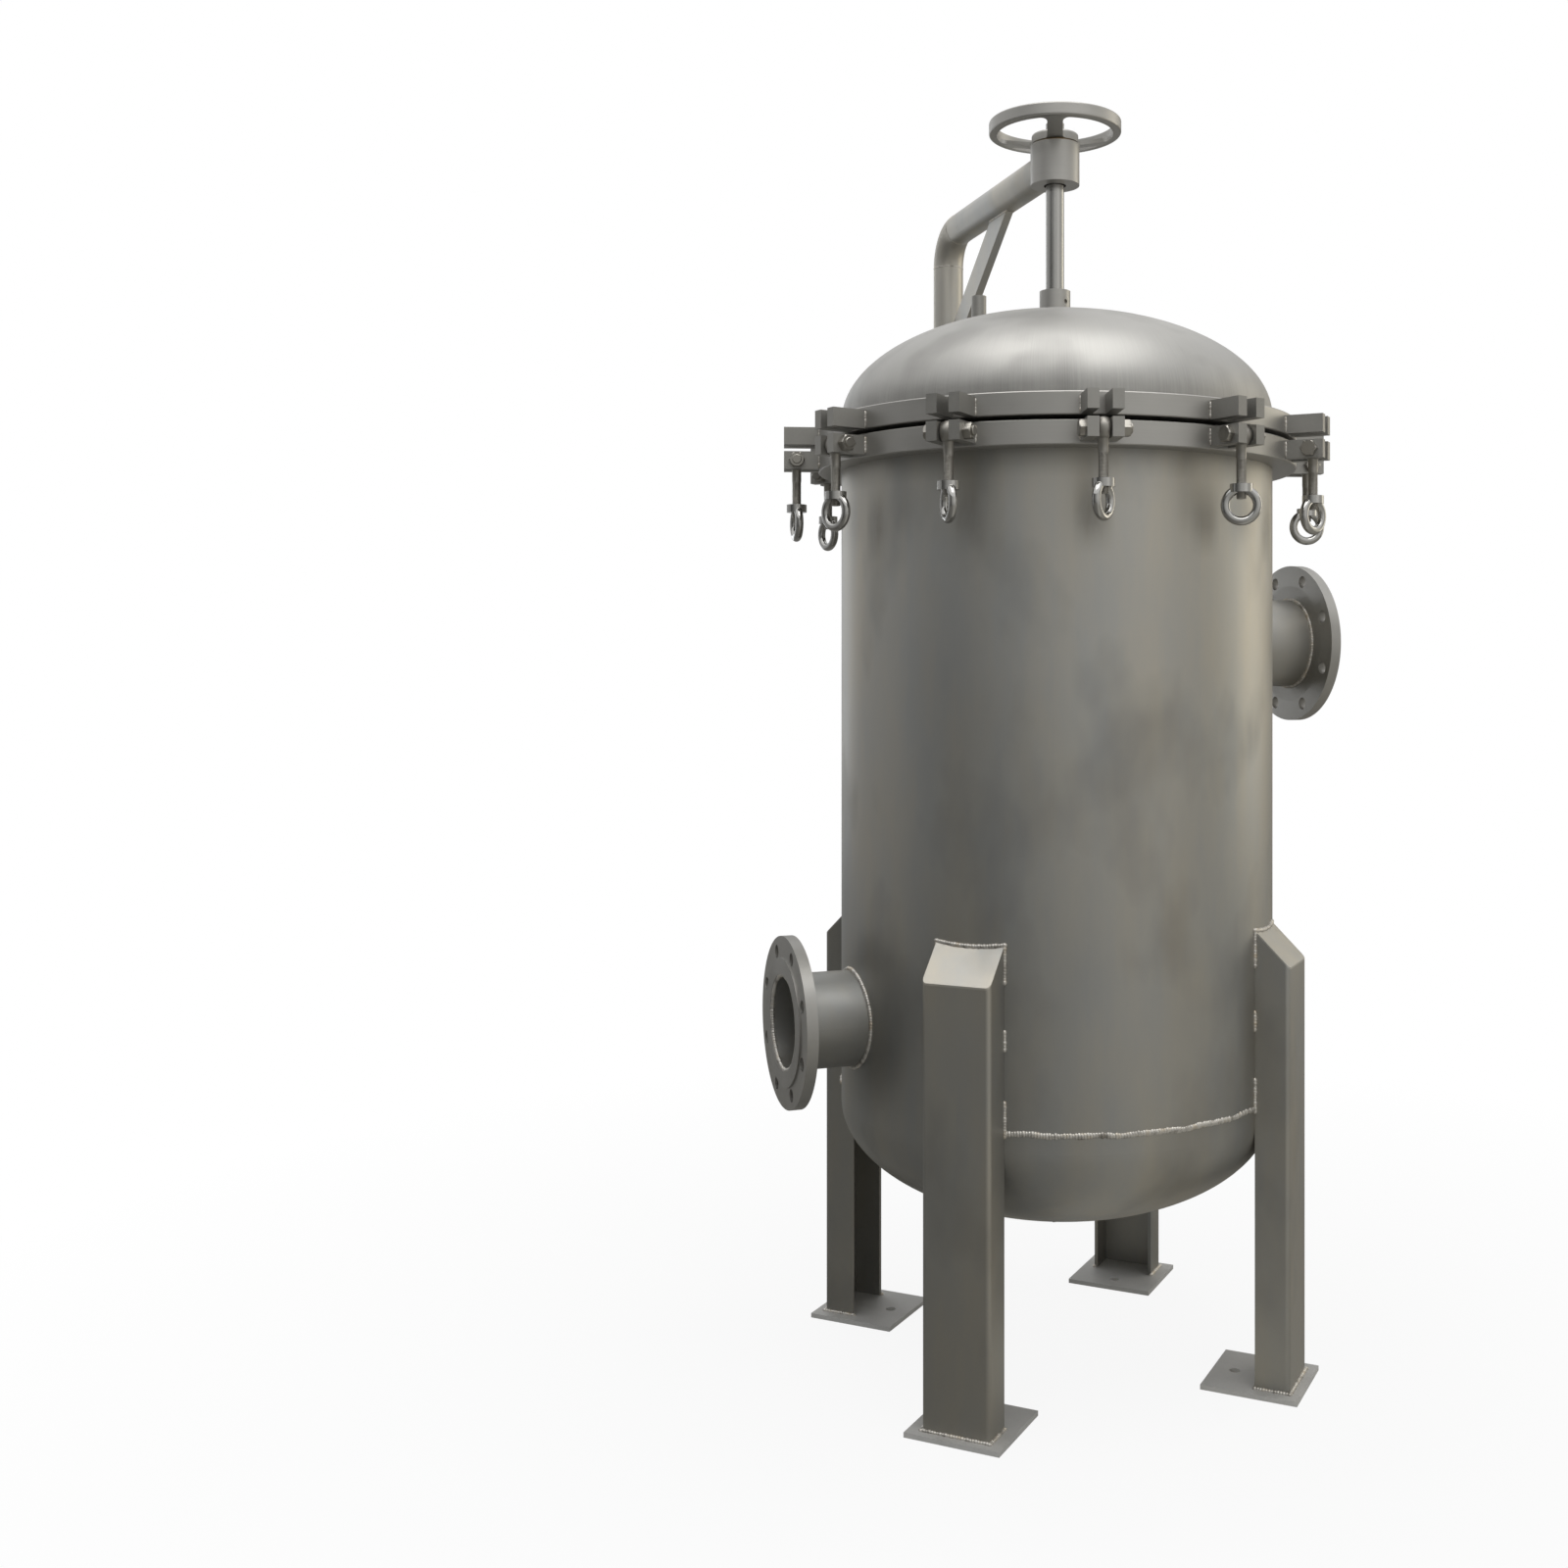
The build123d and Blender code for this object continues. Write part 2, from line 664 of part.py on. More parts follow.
with BuildPart() as davit_brace:
    brace_start = Vector(0, post_distance, brace_foot)
    brace_end = Vector(0, post_distance - brace_reach, arm_height)
    along = (brace_end - brace_start).normalized()
    with BuildSketch(Plane(origin=brace_start, x_dir=(1, 0, 0), z_dir=along)):
        Rectangle(brace_thick, brace_depth)
    extrude(amount=(brace_end - brace_start).length)
    with Locations((0, post_distance, brace_foot)):
        Cylinder(post_radius, 2 * brace_drop, mode=Mode.SUBTRACT)
    with Locations((0, post_distance - brace_reach, arm_height)):
        Cylinder(post_radius, 2 * brace_reach, rotation=(90, 0, 0), mode=Mode.SUBTRACT)
save(davit_brace.part, "davit_brace")

with BuildPart() as davit_boss:
    with BuildSketch(Plane.XY.offset(boss_bottom)):
        Circle(boss_radius)
        Circle(guide_bush_od / 2, mode=Mode.SUBTRACT)
    extrude(amount=boss_height)
save(davit_boss.part, "davit_boss")

with BuildPart() as guide_bush:
    with BuildSketch(Plane.XY.offset(boss_bottom + boss_mouth)):
        Circle(guide_bush_od / 2)
        Circle(stem_bore, mode=Mode.SUBTRACT)
        with Locations((0, stem_radius)):
            Rectangle(keyway_width - 2 * key_clearance, 2 * (keyway_depth - key_clearance))
    extrude(amount=boss_height - boss_mouth)
save(guide_bush.part, "guide_bush")

with BuildPart() as thrust_washer:
    with BuildSketch(Plane.XY.offset(boss_top)):
        Circle(washer_od / 2)
        Circle(washer_bore / 2, mode=Mode.SUBTRACT)
    extrude(amount=washer_thick)
save(thrust_washer.part, "thrust_washer")

# ---- Handwheel ----
rim_radius = wheel_od / 2
rim_inner = rim_radius - rim_width
with BuildPart() as handwheel:
    with BuildSketch(Plane.XZ):
        with BuildLine():
            Polyline(
                (0, hub_bottom),
                (hub_od / 2, hub_bottom),
                (rim_inner + rim_step, rim_bottom),
                (rim_inner + rim_step, rim_bottom + spoke_thick),
                (hub_od / 2, hub_bottom + spoke_thick),
                (0, hub_bottom + spoke_thick),
                close=True,
            )
        make_face()
    revolve(axis=Axis.Z)
    with BuildSketch(Plane.XY.offset(hub_bottom)) as windows:
        Circle(rim_inner)
        Circle(hub_od / 2, mode=Mode.SUBTRACT)
        with PolarLocations(rim_inner / 2, spoke_count, start_angle=first_spoke):
            Rectangle(rim_inner, spoke_width, mode=Mode.SUBTRACT)
        fillet(windows.vertices(), radius=window_radius)
    extrude(amount=rim_lift + spoke_thick, mode=Mode.SUBTRACT)
    with BuildSketch(Plane.XY.offset(hub_bottom)):
        Circle(hub_od / 2)
    extrude(amount=hub_height)
    fillet(handwheel.faces().filter_by(Axis.Z).sort_by(Axis.Z)[-1].edges(), radius=hub_edge_radius)
    with BuildSketch(Plane.XZ):
        with BuildLine():
            rim_top = rim_bottom + rim_height
            step_height = rim_top - rim_step_height
            section = Polyline(
                (rim_inner, rim_bottom),
                (rim_radius, rim_bottom),
                (rim_radius, rim_top),
                (rim_inner + rim_step, rim_top),
                (rim_inner + rim_step, step_height),
                (rim_inner, step_height),
                close=True,
            )
            outer_corners = section.vertices().group_by(Axis.X)[-1]
            fillet(outer_corners, radius=rim_edge_radius)
        make_face()
    revolve(axis=Axis.Z)
    with BuildSketch(Plane.XY.offset(hub_bottom)):
        Circle(stem_nut_od / 2)
    extrude(amount=hub_height, mode=Mode.SUBTRACT)
save(handwheel.part, "handwheel")

with BuildPart() as stem_nut:
    with BuildSketch(Plane.XY.offset(hub_bottom)):
        Circle(stem_nut_od / 2)
        Circle(stem_bore, mode=Mode.SUBTRACT)
    extrude(amount=hub_height)
save(stem_nut.part, "stem_nut")

# ---- Swing bolts and their eye nuts ----
for number, (angle, heading) in enumerate(zip(clamp_angles, eye_nut_headings), start=1):
    pivot_plane = radial_plane(angle, pivot_radius, pivot_height)
    hang_plane = Plane(origin=pivot_plane.origin, x_dir=pivot_plane.x_dir, z_dir=(0, 0, -1))
    with BuildPart(pivot_plane) as swing_bolt:
        Sphere(eye_dia / 2)
        Box(eye_dia, eye_dia, eye_thick, mode=Mode.INTERSECT)
        with BuildSketch(hang_plane):
            Circle(shank_radius)
        extrude(amount=swing_bolt_length)
        chamfer(swing_bolt.faces().sort_by(Axis.Z)[0].edges(), length=shank_chamfer)
        Cylinder(pivot_hole_radius, 2 * eye_thick, mode=Mode.SUBTRACT)
    save(swing_bolt.part, f"swing_bolt_{number:02d}")

    turn = radians(heading)
    ring_centre = pivot_height - nut_distance + eye_nut_ring_dia / 2 - eye_nut_height
    facing = Plane(
        origin=(pivot_plane.origin.X, pivot_plane.origin.Y, ring_centre),
        x_dir=(0, 0, 1),
        z_dir=(cos(turn), sin(turn), 0),
    )
    with BuildPart(facing) as eye_nut:
        Torus(eye_nut_ring_radius, eye_nut_wire_dia / 2)
        with BuildSketch(hang_plane.offset(nut_distance)):
            Circle(eye_nut_collar_dia / 2)
        extrude(amount=eye_nut_collar_height)
        with BuildSketch(hang_plane.offset(nut_distance)):
            Circle(nut_hole_radius)
        extrude(amount=eye_nut_height / 2, mode=Mode.SUBTRACT)
    save(eye_nut.part, f"eye_nut_{number:02d}")
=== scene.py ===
"""Dresses the bag filter housing: finishes, weld beads, threads, filter bags and a pale studio."""

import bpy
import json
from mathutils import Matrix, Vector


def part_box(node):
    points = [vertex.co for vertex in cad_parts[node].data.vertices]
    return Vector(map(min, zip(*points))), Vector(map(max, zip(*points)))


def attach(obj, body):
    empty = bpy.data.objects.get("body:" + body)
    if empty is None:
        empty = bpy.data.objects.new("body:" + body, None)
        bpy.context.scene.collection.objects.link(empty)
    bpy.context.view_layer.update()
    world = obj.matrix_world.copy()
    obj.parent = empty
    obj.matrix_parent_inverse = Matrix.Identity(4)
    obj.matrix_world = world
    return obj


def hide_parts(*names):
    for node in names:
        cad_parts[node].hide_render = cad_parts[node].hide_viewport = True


bl_info = {
    "name": "Bag filter housing",
    "version": (1, 0, 0),
    "blender": (4, 5, 0),
    "location": "3D View > Sidebar > Filter housing",
    "description": "Finishes, welds, threads, filter bags and studio of a bag filter housing",
    "category": "Object",
}

import json
from math import atan2, ceil, cos, hypot, pi, radians, sin, sqrt

import bmesh
import bpy
from mathutils import Vector

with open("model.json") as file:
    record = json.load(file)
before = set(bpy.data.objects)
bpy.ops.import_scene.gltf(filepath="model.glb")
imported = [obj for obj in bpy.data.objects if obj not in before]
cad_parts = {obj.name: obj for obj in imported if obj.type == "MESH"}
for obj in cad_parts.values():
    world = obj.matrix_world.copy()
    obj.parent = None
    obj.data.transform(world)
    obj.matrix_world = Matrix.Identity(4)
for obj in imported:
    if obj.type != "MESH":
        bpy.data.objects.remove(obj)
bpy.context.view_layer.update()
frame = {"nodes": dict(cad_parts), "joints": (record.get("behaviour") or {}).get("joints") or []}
nodes = frame["nodes"]

# ---- Places read from the frame, in metres ----
barrel_low, barrel_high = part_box("shell_barrel")
shell_radius = barrel_high[0]
seam_height = barrel_low[2]
head_depth = shell_radius / 2
dome_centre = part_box("lid_dome")[1][2] - head_depth
lug_low, lug_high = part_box("body_lugs")
lid_lug_low, lid_lug_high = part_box("lid_lugs")
ring_low, ring_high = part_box("body_flange")
ring_radius = ring_high[0]
ring_foot = ring_low[2]
legs_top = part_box("legs")[1][2]
plate_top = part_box("base_plates")[1][2]
inlet_low, inlet_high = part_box("inlet_flange")
outlet_low, outlet_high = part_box("outlet_flange")
inlet_height = (inlet_low[2] + inlet_high[2]) / 2
outlet_height = (outlet_low[2] + outlet_high[2]) / 2
nozzle_face = inlet_high[0]
nozzle_back = inlet_low[0]
pipe_low, pipe_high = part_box("inlet_pipe")
pipe_radius = (pipe_high[2] - pipe_low[2]) / 2
davit_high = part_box("davit_pipe")[1]
post_radius = davit_high[0]
post_distance = davit_high[1] - post_radius
arm_height = davit_high[2] - post_radius
boss_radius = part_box("davit_boss")[1][0]
collar_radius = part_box("stem_collar")[1][0]
vent_low, vent_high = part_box("vent_socket")
vent_radius = (vent_high[0] - vent_low[0]) / 2
vent_place = ((vent_low[0] + vent_high[0]) / 2, (vent_low[1] + vent_high[1]) / 2)
bag_low, bag_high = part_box("filter_bags")

clamp_pivots = {
    joint["child"]: Vector(joint["pos_m"])
    for joint in frame["joints"]
    if joint["child"].startswith("bolt_")
}
leg_angles = [radians(45 + 90 * step) for step in range(4)]
basket_angles = [radians(60 * step) for step in range(6)]
x_axis, y_axis, z_axis = Vector((1, 0, 0)), Vector((0, 1, 0)), Vector((0, 0, 1))

# ---- Marks on the finishes: lengths and heights in metres ----
rubbed_from, rubbed_to = (1.36, 1.41), (1.43, 1.50)  # hanging eye nuts rub here: fade in, fade out
# Painted shade: the shell is made darker low down and lighter high up.
shaded_heights = (0.25, 1.55)  # the shell is darker low down than high up
# The dome's painted shade towards its rim fades over these heights too.
streak_heights = (1.63, 1.74)  # the dome's streaks fade out over these
cap_reach = 1.128  # a leg cap's height plus its distance from the vessel's axis
# Painted shadow of the body flange: the shell is darker over this height below it.
ring_shade = 0.045  # how far below the body flange the shell is darker
raised_face = 0.106  # radius of a nozzle flange's raised face
turning_step = 0.0016  # between the turned rings of a nozzle flange
grain_scale = 950.0  # of the noise that stands for blasted grains


# ---- Node trees written as expressions ----
class Field:
    """A node's output socket that takes part in arithmetic: each operator adds a Math node."""

    def __init__(self, graph, socket):
        self.graph = graph
        self.socket = socket

    def math(self, operation, *others):
        return self.graph.node("ShaderNodeMath", {"operation": operation}, (self, *others))

    def __add__(self, other):
        return self.math("ADD", other)

    def __sub__(self, other):
        return self.math("SUBTRACT", other)

    def __mul__(self, other):
        return self.math("MULTIPLY", other)

    def __truediv__(self, other):
        return self.math("DIVIDE", other)

    def __rsub__(self, other):
        return self.graph.node("ShaderNodeMath", {"operation": "SUBTRACT"}, (other, self))

    __radd__ = __add__
    __rmul__ = __mul__


class Graph:
    """Adds nodes to a shader or geometry tree."""

    def __init__(self, tree):
        self.tree = tree
        tree.nodes.clear()

    def node(self, kind, settings=None, sockets=(), output=0):
        """Adds a node: its settings first, then the values or links of its sockets."""
        added = self.tree.nodes.new(kind)
        for name, value in (settings or {}).items():
            setattr(added, name, value)
        items = sockets.items() if isinstance(sockets, dict) else enumerate(sockets)
        for key, value in items:
            if isinstance(value, Field):
                self.tree.links.new(value.socket, added.inputs[key])
            elif value is not None:
                added.inputs[key].default_value = value
        shown = [socket for socket in added.outputs if socket.enabled]
        if not shown:
            return added
        return Field(self, added.outputs[output] if isinstance(output, str) else shown[output])

    def ramp(self, factor, *stops):
        """Maps a factor through (position, colour) stops."""
        field = self.node("ShaderNodeValToRGB", None, {"Fac": factor})
        elements = field.socket.node.color_ramp.elements
        while len(elements) < len(stops):
            elements.new(0.5)
        for element, (position, colour) in zip(elements, stops):
            element.position = position
            element.color = (*colour, 1.0) if len(colour) == 3 else colour
        return field

    def mix(self, factor, first, second, blend="MIX"):
        """Blends two colours."""
        settings = {"data_type": "RGBA", "blend_type": blend}
        first, second = (
            (*value, 1.0) if isinstance(value, (tuple, list)) and len(value) == 3 else value
            for value in (first, second)
        )
        mixed = self.node("ShaderNodeMix", settings, {0: factor, 6: first, 7: second})
        return Field(self, mixed.socket.node.outputs[2])

    def shaded(self, colour, shade):
        """Multiplies a colour by a number that varies."""
        grey = self.node("ShaderNodeCombineXYZ", None, (shade, shade, shade))
        return self.mix(1.0, colour, grey, "MULTIPLY")

    def spread(self, value, low, high, start=0.0, end=1.0):
        """Maps low..high onto start..end, held at both ends."""
        sockets = {"Value": value, 1: low, 2: high, 3: start, 4: end}
        return self.node("ShaderNodeMapRange", {"clamp": True}, sockets)


class Finish(Graph):
    """A material's tree, fed by fields on Object coordinates."""

    def __init__(self, name):
        self.material = bpy.data.materials.new(name)
        self.material.use_nodes = True
        super().__init__(self.material.node_tree)
        self.place = self.node("ShaderNodeTexCoord", output="Object")
        axes = self.node("ShaderNodeSeparateXYZ", None, {0: self.place}).socket.node.outputs
        self.x, self.y, self.z = (Field(self, axis) for axis in axes)

    def noise(self, scale, detail, roughness, stretch=None, place=None):
        """Clouds on the object, or stretched by a scale along each axis, or at another place."""
        place = place or self.place
        if stretch:
            place = self.node("ShaderNodeMapping", None, {"Vector": place, "Scale": stretch})
        sockets = {"Vector": place, "Scale": scale, "Detail": detail, "Roughness": roughness}
        return self.node("ShaderNodeTexNoise", None, sockets, "Fac")

    def from_axis(self):
        """Distance from the vessel's axis."""
        return (self.x * self.x + self.y * self.y).math("SQRT")

    def heading(self):
        """Angle round the vessel's axis, in radians from +X."""
        return self.y.math("ARCTAN2", self.x)

    def bump(self, height, strength, distance, normal=None):
        sockets = {"Height": height, "Strength": strength, "Distance": distance, "Normal": normal}
        return self.node("ShaderNodeBump", None, sockets)

    def done(self, colour, metallic, roughness, normal, **others):
        """Adds the Principled shader; other sockets' names use _ for a space."""
        named = {name.replace("_", " "): value for name, value in others.items()}
        named |= {"Base Color": colour, "Metallic": metallic, "Roughness": roughness}
        named["Normal"] = normal
        shader = self.node("ShaderNodeBsdfPrincipled", None, named)
        self.node("ShaderNodeOutputMaterial", None, {"Surface": shader})
        return self.material


# ---- Finishes ----
made = {}


def finish(maker):
    """The material that a maker gives, made once."""
    if maker not in made:
        made[maker] = maker()
    return made[maker]


def colour_of(name):
    return tuple(getattr(bpy.context.scene.housing_finish, name))


def blasted_steel():
    """Glass-blasted stainless sheet: clouded and smudged, with painted shade that makes it a little
    darker lower down and below the body flange, and painted light on the legs' sloped caps.
    """
    tree = Finish("blasted_steel")
    clouds = tree.noise(2.6, 4.0, 0.6, (1.0, 1.0, 0.55))
    runs = tree.noise(9.0, 5.0, 0.62, (1.0, 1.0, 0.22))
    smudges = tree.noise(6.5, 3.0, 0.5, (1.0, 1.0, 0.6))
    grain = tree.noise(grain_scale, 2.0, 0.6)
    speckle = tree.noise(160.0, 3.0, 0.7)
    stain = tree.spread(smudges, 0.50, 0.72)
    facing = tree.heading() * float(len(clamp_pivots)) + pi
    beneath = tree.spread(facing.math("COSINE"), 0.45, 0.98)
    level = tree.spread(tree.z, *rubbed_from) * tree.spread(tree.z, *rubbed_to, 1.0, 0.0)
    beyond = tree.from_axis()
    outside = tree.spread(beyond, shell_radius - 0.002, shell_radius - 0.001)
    rubbed = beneath * level * outside * tree.spread(runs, 0.35, 0.6)
    # Painted shade: the shell darker low down, lighter high up.
    upper = tree.spread(tree.z, *shaded_heights, 0.82, 1.08)
    shade = (0.76 + 0.26 * clouds + 0.24 * runs + 0.05 * speckle - 0.22 * stain) * upper
    # Painted light: the legs' sloped caps are made lighter, as where the light from above falls on
    # them.
    along = (tree.x.math("ABSOLUTE") + tree.y.math("ABSOLUTE")) * sqrt(0.5)
    cap = tree.spread(tree.z + along, cap_reach - 0.004, cap_reach - 0.002)
    cap = cap * tree.spread(beyond, shell_radius + 0.001, shell_radius + 0.002)
    cap = cap * tree.spread(tree.z, legs_top, legs_top + 0.004, 1.0, 0.0)
    # Painted shadow: a darker band on the shell just below the body flange.
    ring_painted_shadow = outside * tree.spread(tree.z, ring_foot - ring_shade, ring_foot - 0.004)
    ring_painted_shadow = ring_painted_shadow * tree.spread(tree.z, ring_foot, ring_foot + 0.002, 1.0, 0.0)
    shade = shade * (1.0 - 0.34 * rubbed) * (1.0 + 0.4 * cap) * (1.0 - 0.3 * ring_painted_shadow)
    warmth = tree.mix(tree.spread(runs, 0.35, 0.7), (0.98, 1.0, 1.015), (1.05, 1.0, 0.90))
    tinted = tree.mix(1.0, colour_of("blasted"), warmth, "MULTIPLY")
    colour = tree.shaded(tinted, shade)
    rough = 0.35 + 0.14 * clouds + 0.07 * speckle + 0.08 * stain
    fine = tree.bump(grain, 0.16, 0.0004)
    dents = tree.bump(tree.noise(3.2, 1.0, 0.4), 0.10, 0.004, fine)
    return tree.done(colour, 0.9, rough, dents)


def dome_steel():
    """Spun and blasted head: fine streaks run up it from its rim, and painted shade makes it a
    little darker towards the rim.
    """
    tree = Finish("dome_steel")
    along = tree.node("ShaderNodeCombineXYZ", None, (tree.heading() * 60.0, tree.z * 3.0, 0.0))
    streaks = tree.noise(3.0, 4.0, 0.65, place=along)
    rim = tree.spread(tree.z, *streak_heights, 1.0, 0.0)
    clouds = tree.noise(4.5, 4.0, 0.6, (1.0, 1.0, 1.6))
    patches = tree.noise(8.0, 2.0, 0.5)
    grain = tree.noise(grain_scale, 2.0, 0.6)
    # Painted shade: the - 0.04 * rim term darkens the dome towards its rim.
    shade = 0.88 + 0.22 * clouds + 0.34 * (streaks - 0.5) * (0.25 + rim) - 0.04 * rim
    shade = shade - 0.16 * tree.spread(patches, 0.5, 0.68)
    colour = tree.shaded(colour_of("blasted"), shade)
    rough = 0.36 + 0.16 * clouds + 0.10 * tree.spread(patches, 0.4, 0.7) + 0.06 * rim * streaks
    fine = tree.bump(grain, 0.14, 0.0004)
    normal = tree.bump(streaks * rim, 0.25, 0.0006, fine)
    dents = tree.bump(tree.noise(3.6, 1.0, 0.4), 0.36, 0.004, normal)
    return tree.done(colour, 0.9, rough, dents)


def plain(name, base, rough, metallic, variation, grain, bump):
    """The maker of a clouded finish with a fine grain, for the smaller pieces."""

    def maker():
        tree = Finish(name)
        clouds = tree.noise(14.0, 4.0, 0.6)
        fine = tree.noise(grain, 3.0, 0.65)
        shade = 1.0 - variation + variation * clouds * 1.4 + variation * 0.6 * (fine - 0.5)
        colour = tree.shaded(colour_of(base) if isinstance(base, str) else base, shade)
        roughness = rough - 0.06 + 0.12 * clouds + 0.06 * (fine - 0.5)
        normal = tree.bump(fine, bump, 0.0005)
        return tree.done(colour, metallic, roughness, normal)

    return maker


lug_steel = plain("lug_steel", "lugs", 0.46, 0.85, variation=0.22, grain=260.0, bump=0.14)
plate_steel = plain("plate_steel", "plates", 0.55, 0.3, variation=0.2, grain=180.0, bump=0.16)
bright_steel = plain("bright_steel", "bright", 0.13, 1.0, variation=0.16, grain=120.0, bump=0.06)
bolt_steel = plain("bolt_steel", "bolts", 0.42, 0.9, variation=0.35, grain=300.0, bump=0.15)
pivot_steel = plain("pivot_steel", "bolts", 0.32, 1.0, variation=0.25, grain=240.0, bump=0.08)
rubber = (0.012, 0.012, 0.012)
black_rubber = plain("black_rubber", rubber, 0.6, 0.0, variation=0.3, grain=500.0, bump=0.15)
bush_metal = (0.42, 0.27, 0.11)
bronze = plain("bronze", bush_metal, 0.34, 0.95, variation=0.25, grain=300.0, bump=0.08)


def ring_steel():
    """Closure rings, turned all round: fine rings over the blasted grey."""
    tree = Finish("ring_steel")
    clouds = tree.noise(7.0, 4.0, 0.6, (1.0, 1.0, 2.0))
    lines = tree.noise(1.0, 2.0, 0.6, (6.0, 6.0, 900.0))
    shade = 0.84 + 0.24 * clouds + 0.10 * lines
    colour = tree.shaded(colour_of("rings"), shade)
    normal = tree.bump(lines, 0.12, 0.0004)
    rough = 0.34 + 0.12 * clouds + 0.06 * lines
    return tree.done(colour, 0.92, rough, normal)


def nozzle_steel(height):
    """The maker of a flange finish: faces turned in rings round the nozzle's own axis."""

    def maker():
        tree = Finish(f"nozzle_steel_{round(height * 1000)}")
        across = (tree.y * tree.y + (tree.z - height) * (tree.z - height)).math("SQRT")
        rings = (across * (2 * pi / turning_step)).math("SINE") * 0.5 + 0.5
        on_face = tree.spread(across, raised_face - 0.0002, raised_face + 0.0002, 1.0, 0.12)
        clouds = tree.noise(16.0, 4.0, 0.6)
        shade = 0.84 + 0.28 * clouds - 0.12 * rings * on_face
        colour = tree.shaded(colour_of("rings"), shade)
        normal = tree.bump(rings * on_face, 0.5, 0.0004)
        rough = 0.36 + 0.14 * clouds
        return tree.done(colour, 0.92, rough, normal)

    return maker


inlet_steel, outlet_steel = nozzle_steel(inlet_height), nozzle_steel(outlet_height)


def stem_steel():
    """Ground and polished bar, with faint marks along its length."""
    tree = Finish("stem_steel")
    marks = tree.noise(1.0, 3.0, 0.6, (400.0, 400.0, 6.0))
    rough = 0.16 + 0.16 * marks
    normal = tree.bump(marks, 0.05, 0.0003)
    shade = 0.9 + 0.14 * marks
    colour = tree.shaded(colour_of("bright"), shade)
    return tree.done(colour, 1.0, rough, normal)


def weld_metal():
    """As-welded bead: bright silver with straw and grey heat tint."""
    tree = Finish("weld_metal")
    tint = tree.noise(55.0, 3.0, 0.6)
    colour = tree.ramp(
        tint, (0.3, (0.30, 0.28, 0.25)), (0.5, (0.62, 0.60, 0.56)), (0.72, (0.50, 0.43, 0.33))
    )
    fine = tree.noise(700.0, 2.0, 0.6)
    normal = tree.bump(fine, 0.2, 0.0005)
    return tree.done(colour, 0.85, 0.34 + 0.2 * tint, normal)


def felt():
    """Needle felt: soft, cream, with loose fibres."""
    tree = Finish("felt")
    fibres = tree.noise(700.0, 4.0, 0.75, (1.0, 1.0, 0.4))
    clouds = tree.noise(25.0, 3.0, 0.6)
    shade = 0.86 + 0.12 * fibres + 0.08 * clouds
    colour = tree.shaded(colour_of("felt"), shade)
    normal = tree.bump(fibres, 0.6, 0.0012)
    return tree.done(colour, 0.0, 0.92, normal, Sheen_Weight=0.4, Sheen_Roughness=0.5)


def dress(maker, *names):
    """Gives CAD nodes a finish by their objects' material slots."""
    material = finish(maker)
    for name in names:
        node = nodes[name]
        if not node.material_slots:
            node.data.materials.append(None)
        for material_slot in node.material_slots:
            material_slot.link = "OBJECT"
            material_slot.material = material


# ---- Meshes ----
def linked(name, data):
    """Puts an object with this data in the scene."""
    added = bpy.data.objects.new(name, data)
    bpy.context.scene.collection.objects.link(added)
    return added


def new_piece(name, mesh, body, maker, replaced=()):
    """Puts a finished mesh on a body and material."""
    piece = linked(name, mesh)
    mesh.materials.clear()
    mesh.materials.append(finish(maker))
    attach(piece, body)
    if replaced:
        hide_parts(*replaced)
    return piece


def headings(steps, closing=0):
    """Even steps round a circle, in radians; closing=1 comes back to the start."""
    return [2 * pi * step / steps for step in range(steps + closing)]


def raised(height):
    """A height as a vector."""
    return Vector((0, 0, height))


def outward(angle):
    """Level directions away from the vessel's axis and across that."""
    return Vector((cos(angle), sin(angle), 0)), Vector((-sin(angle), cos(angle), 0))


def line_mesh(name, lines):
    """A mesh of open or closed polylines, for a path."""
    mesh = bpy.data.meshes.new(name)
    points, edges = [], []
    for line in lines:
        start = len(points)
        points.extend(line)
        edges.extend((start + step, start + step + 1) for step in range(len(line) - 1))
    mesh.from_pydata(points, edges, [])
    return mesh


def ring_line(centre, radius, across, up):
    """A circle's points about a centre, in the plane of two directions."""
    turns = headings(72, closing=1)
    return [centre + across * (radius * cos(t)) + up * (radius * sin(t)) for t in turns]


def smooth_mesh(name, mesh_data, sharpest):
    """Turns bmesh data into a mesh that is smooth up to an angle in degrees."""
    mesh = bpy.data.meshes.new(name)
    mesh_data.to_mesh(mesh)
    mesh_data.free()
    mesh.shade_smooth()
    mesh.set_sharp_from_angle(angle=radians(sharpest))
    return mesh


def skin(mesh_data, rings):
    """Closes rings of vertices into a solid bar, with a flat face at either end."""
    for first, second in zip(rings, rings[1:]):
        for step in range(len(first)):
            following = (step + 1) % len(first)
            corners = (first[step], second[step], second[following], first[following])
            mesh_data.faces.new(corners)
    mesh_data.faces.new(rings[0])
    mesh_data.faces.new(list(reversed(rings[-1])))


def new_tree(name, inputs):
    """Starts a geometry tree with named inputs and their defaults."""
    tree = bpy.data.node_groups.new(name, "GeometryNodeTree")
    graph = Graph(tree)
    tree.interface.new_socket("Geometry", in_out="INPUT", socket_type="NodeSocketGeometry")
    for name, (kind, default) in inputs.items():
        socket = tree.interface.new_socket(name, in_out="INPUT", socket_type=kind)
        if default is not None:
            socket.default_value = default
    tree.interface.new_socket("Geometry", in_out="OUTPUT", socket_type="NodeSocketGeometry")
    source = tree.nodes.new("NodeGroupInput")
    given = {socket.name: Field(graph, socket) for socket in source.outputs if socket.name}
    return graph, given


def close_tree(graph, instances, given):
    """Ends a tree: real geometry with its material."""
    real = graph.node("GeometryNodeRealizeInstances", None, {0: instances})
    painted = graph.node(
        "GeometryNodeSetMaterial", None, {"Geometry": real, "Material": given["Material"]}
    )
    graph.node("NodeGroupOutput", None, {0: painted})
    return graph.tree


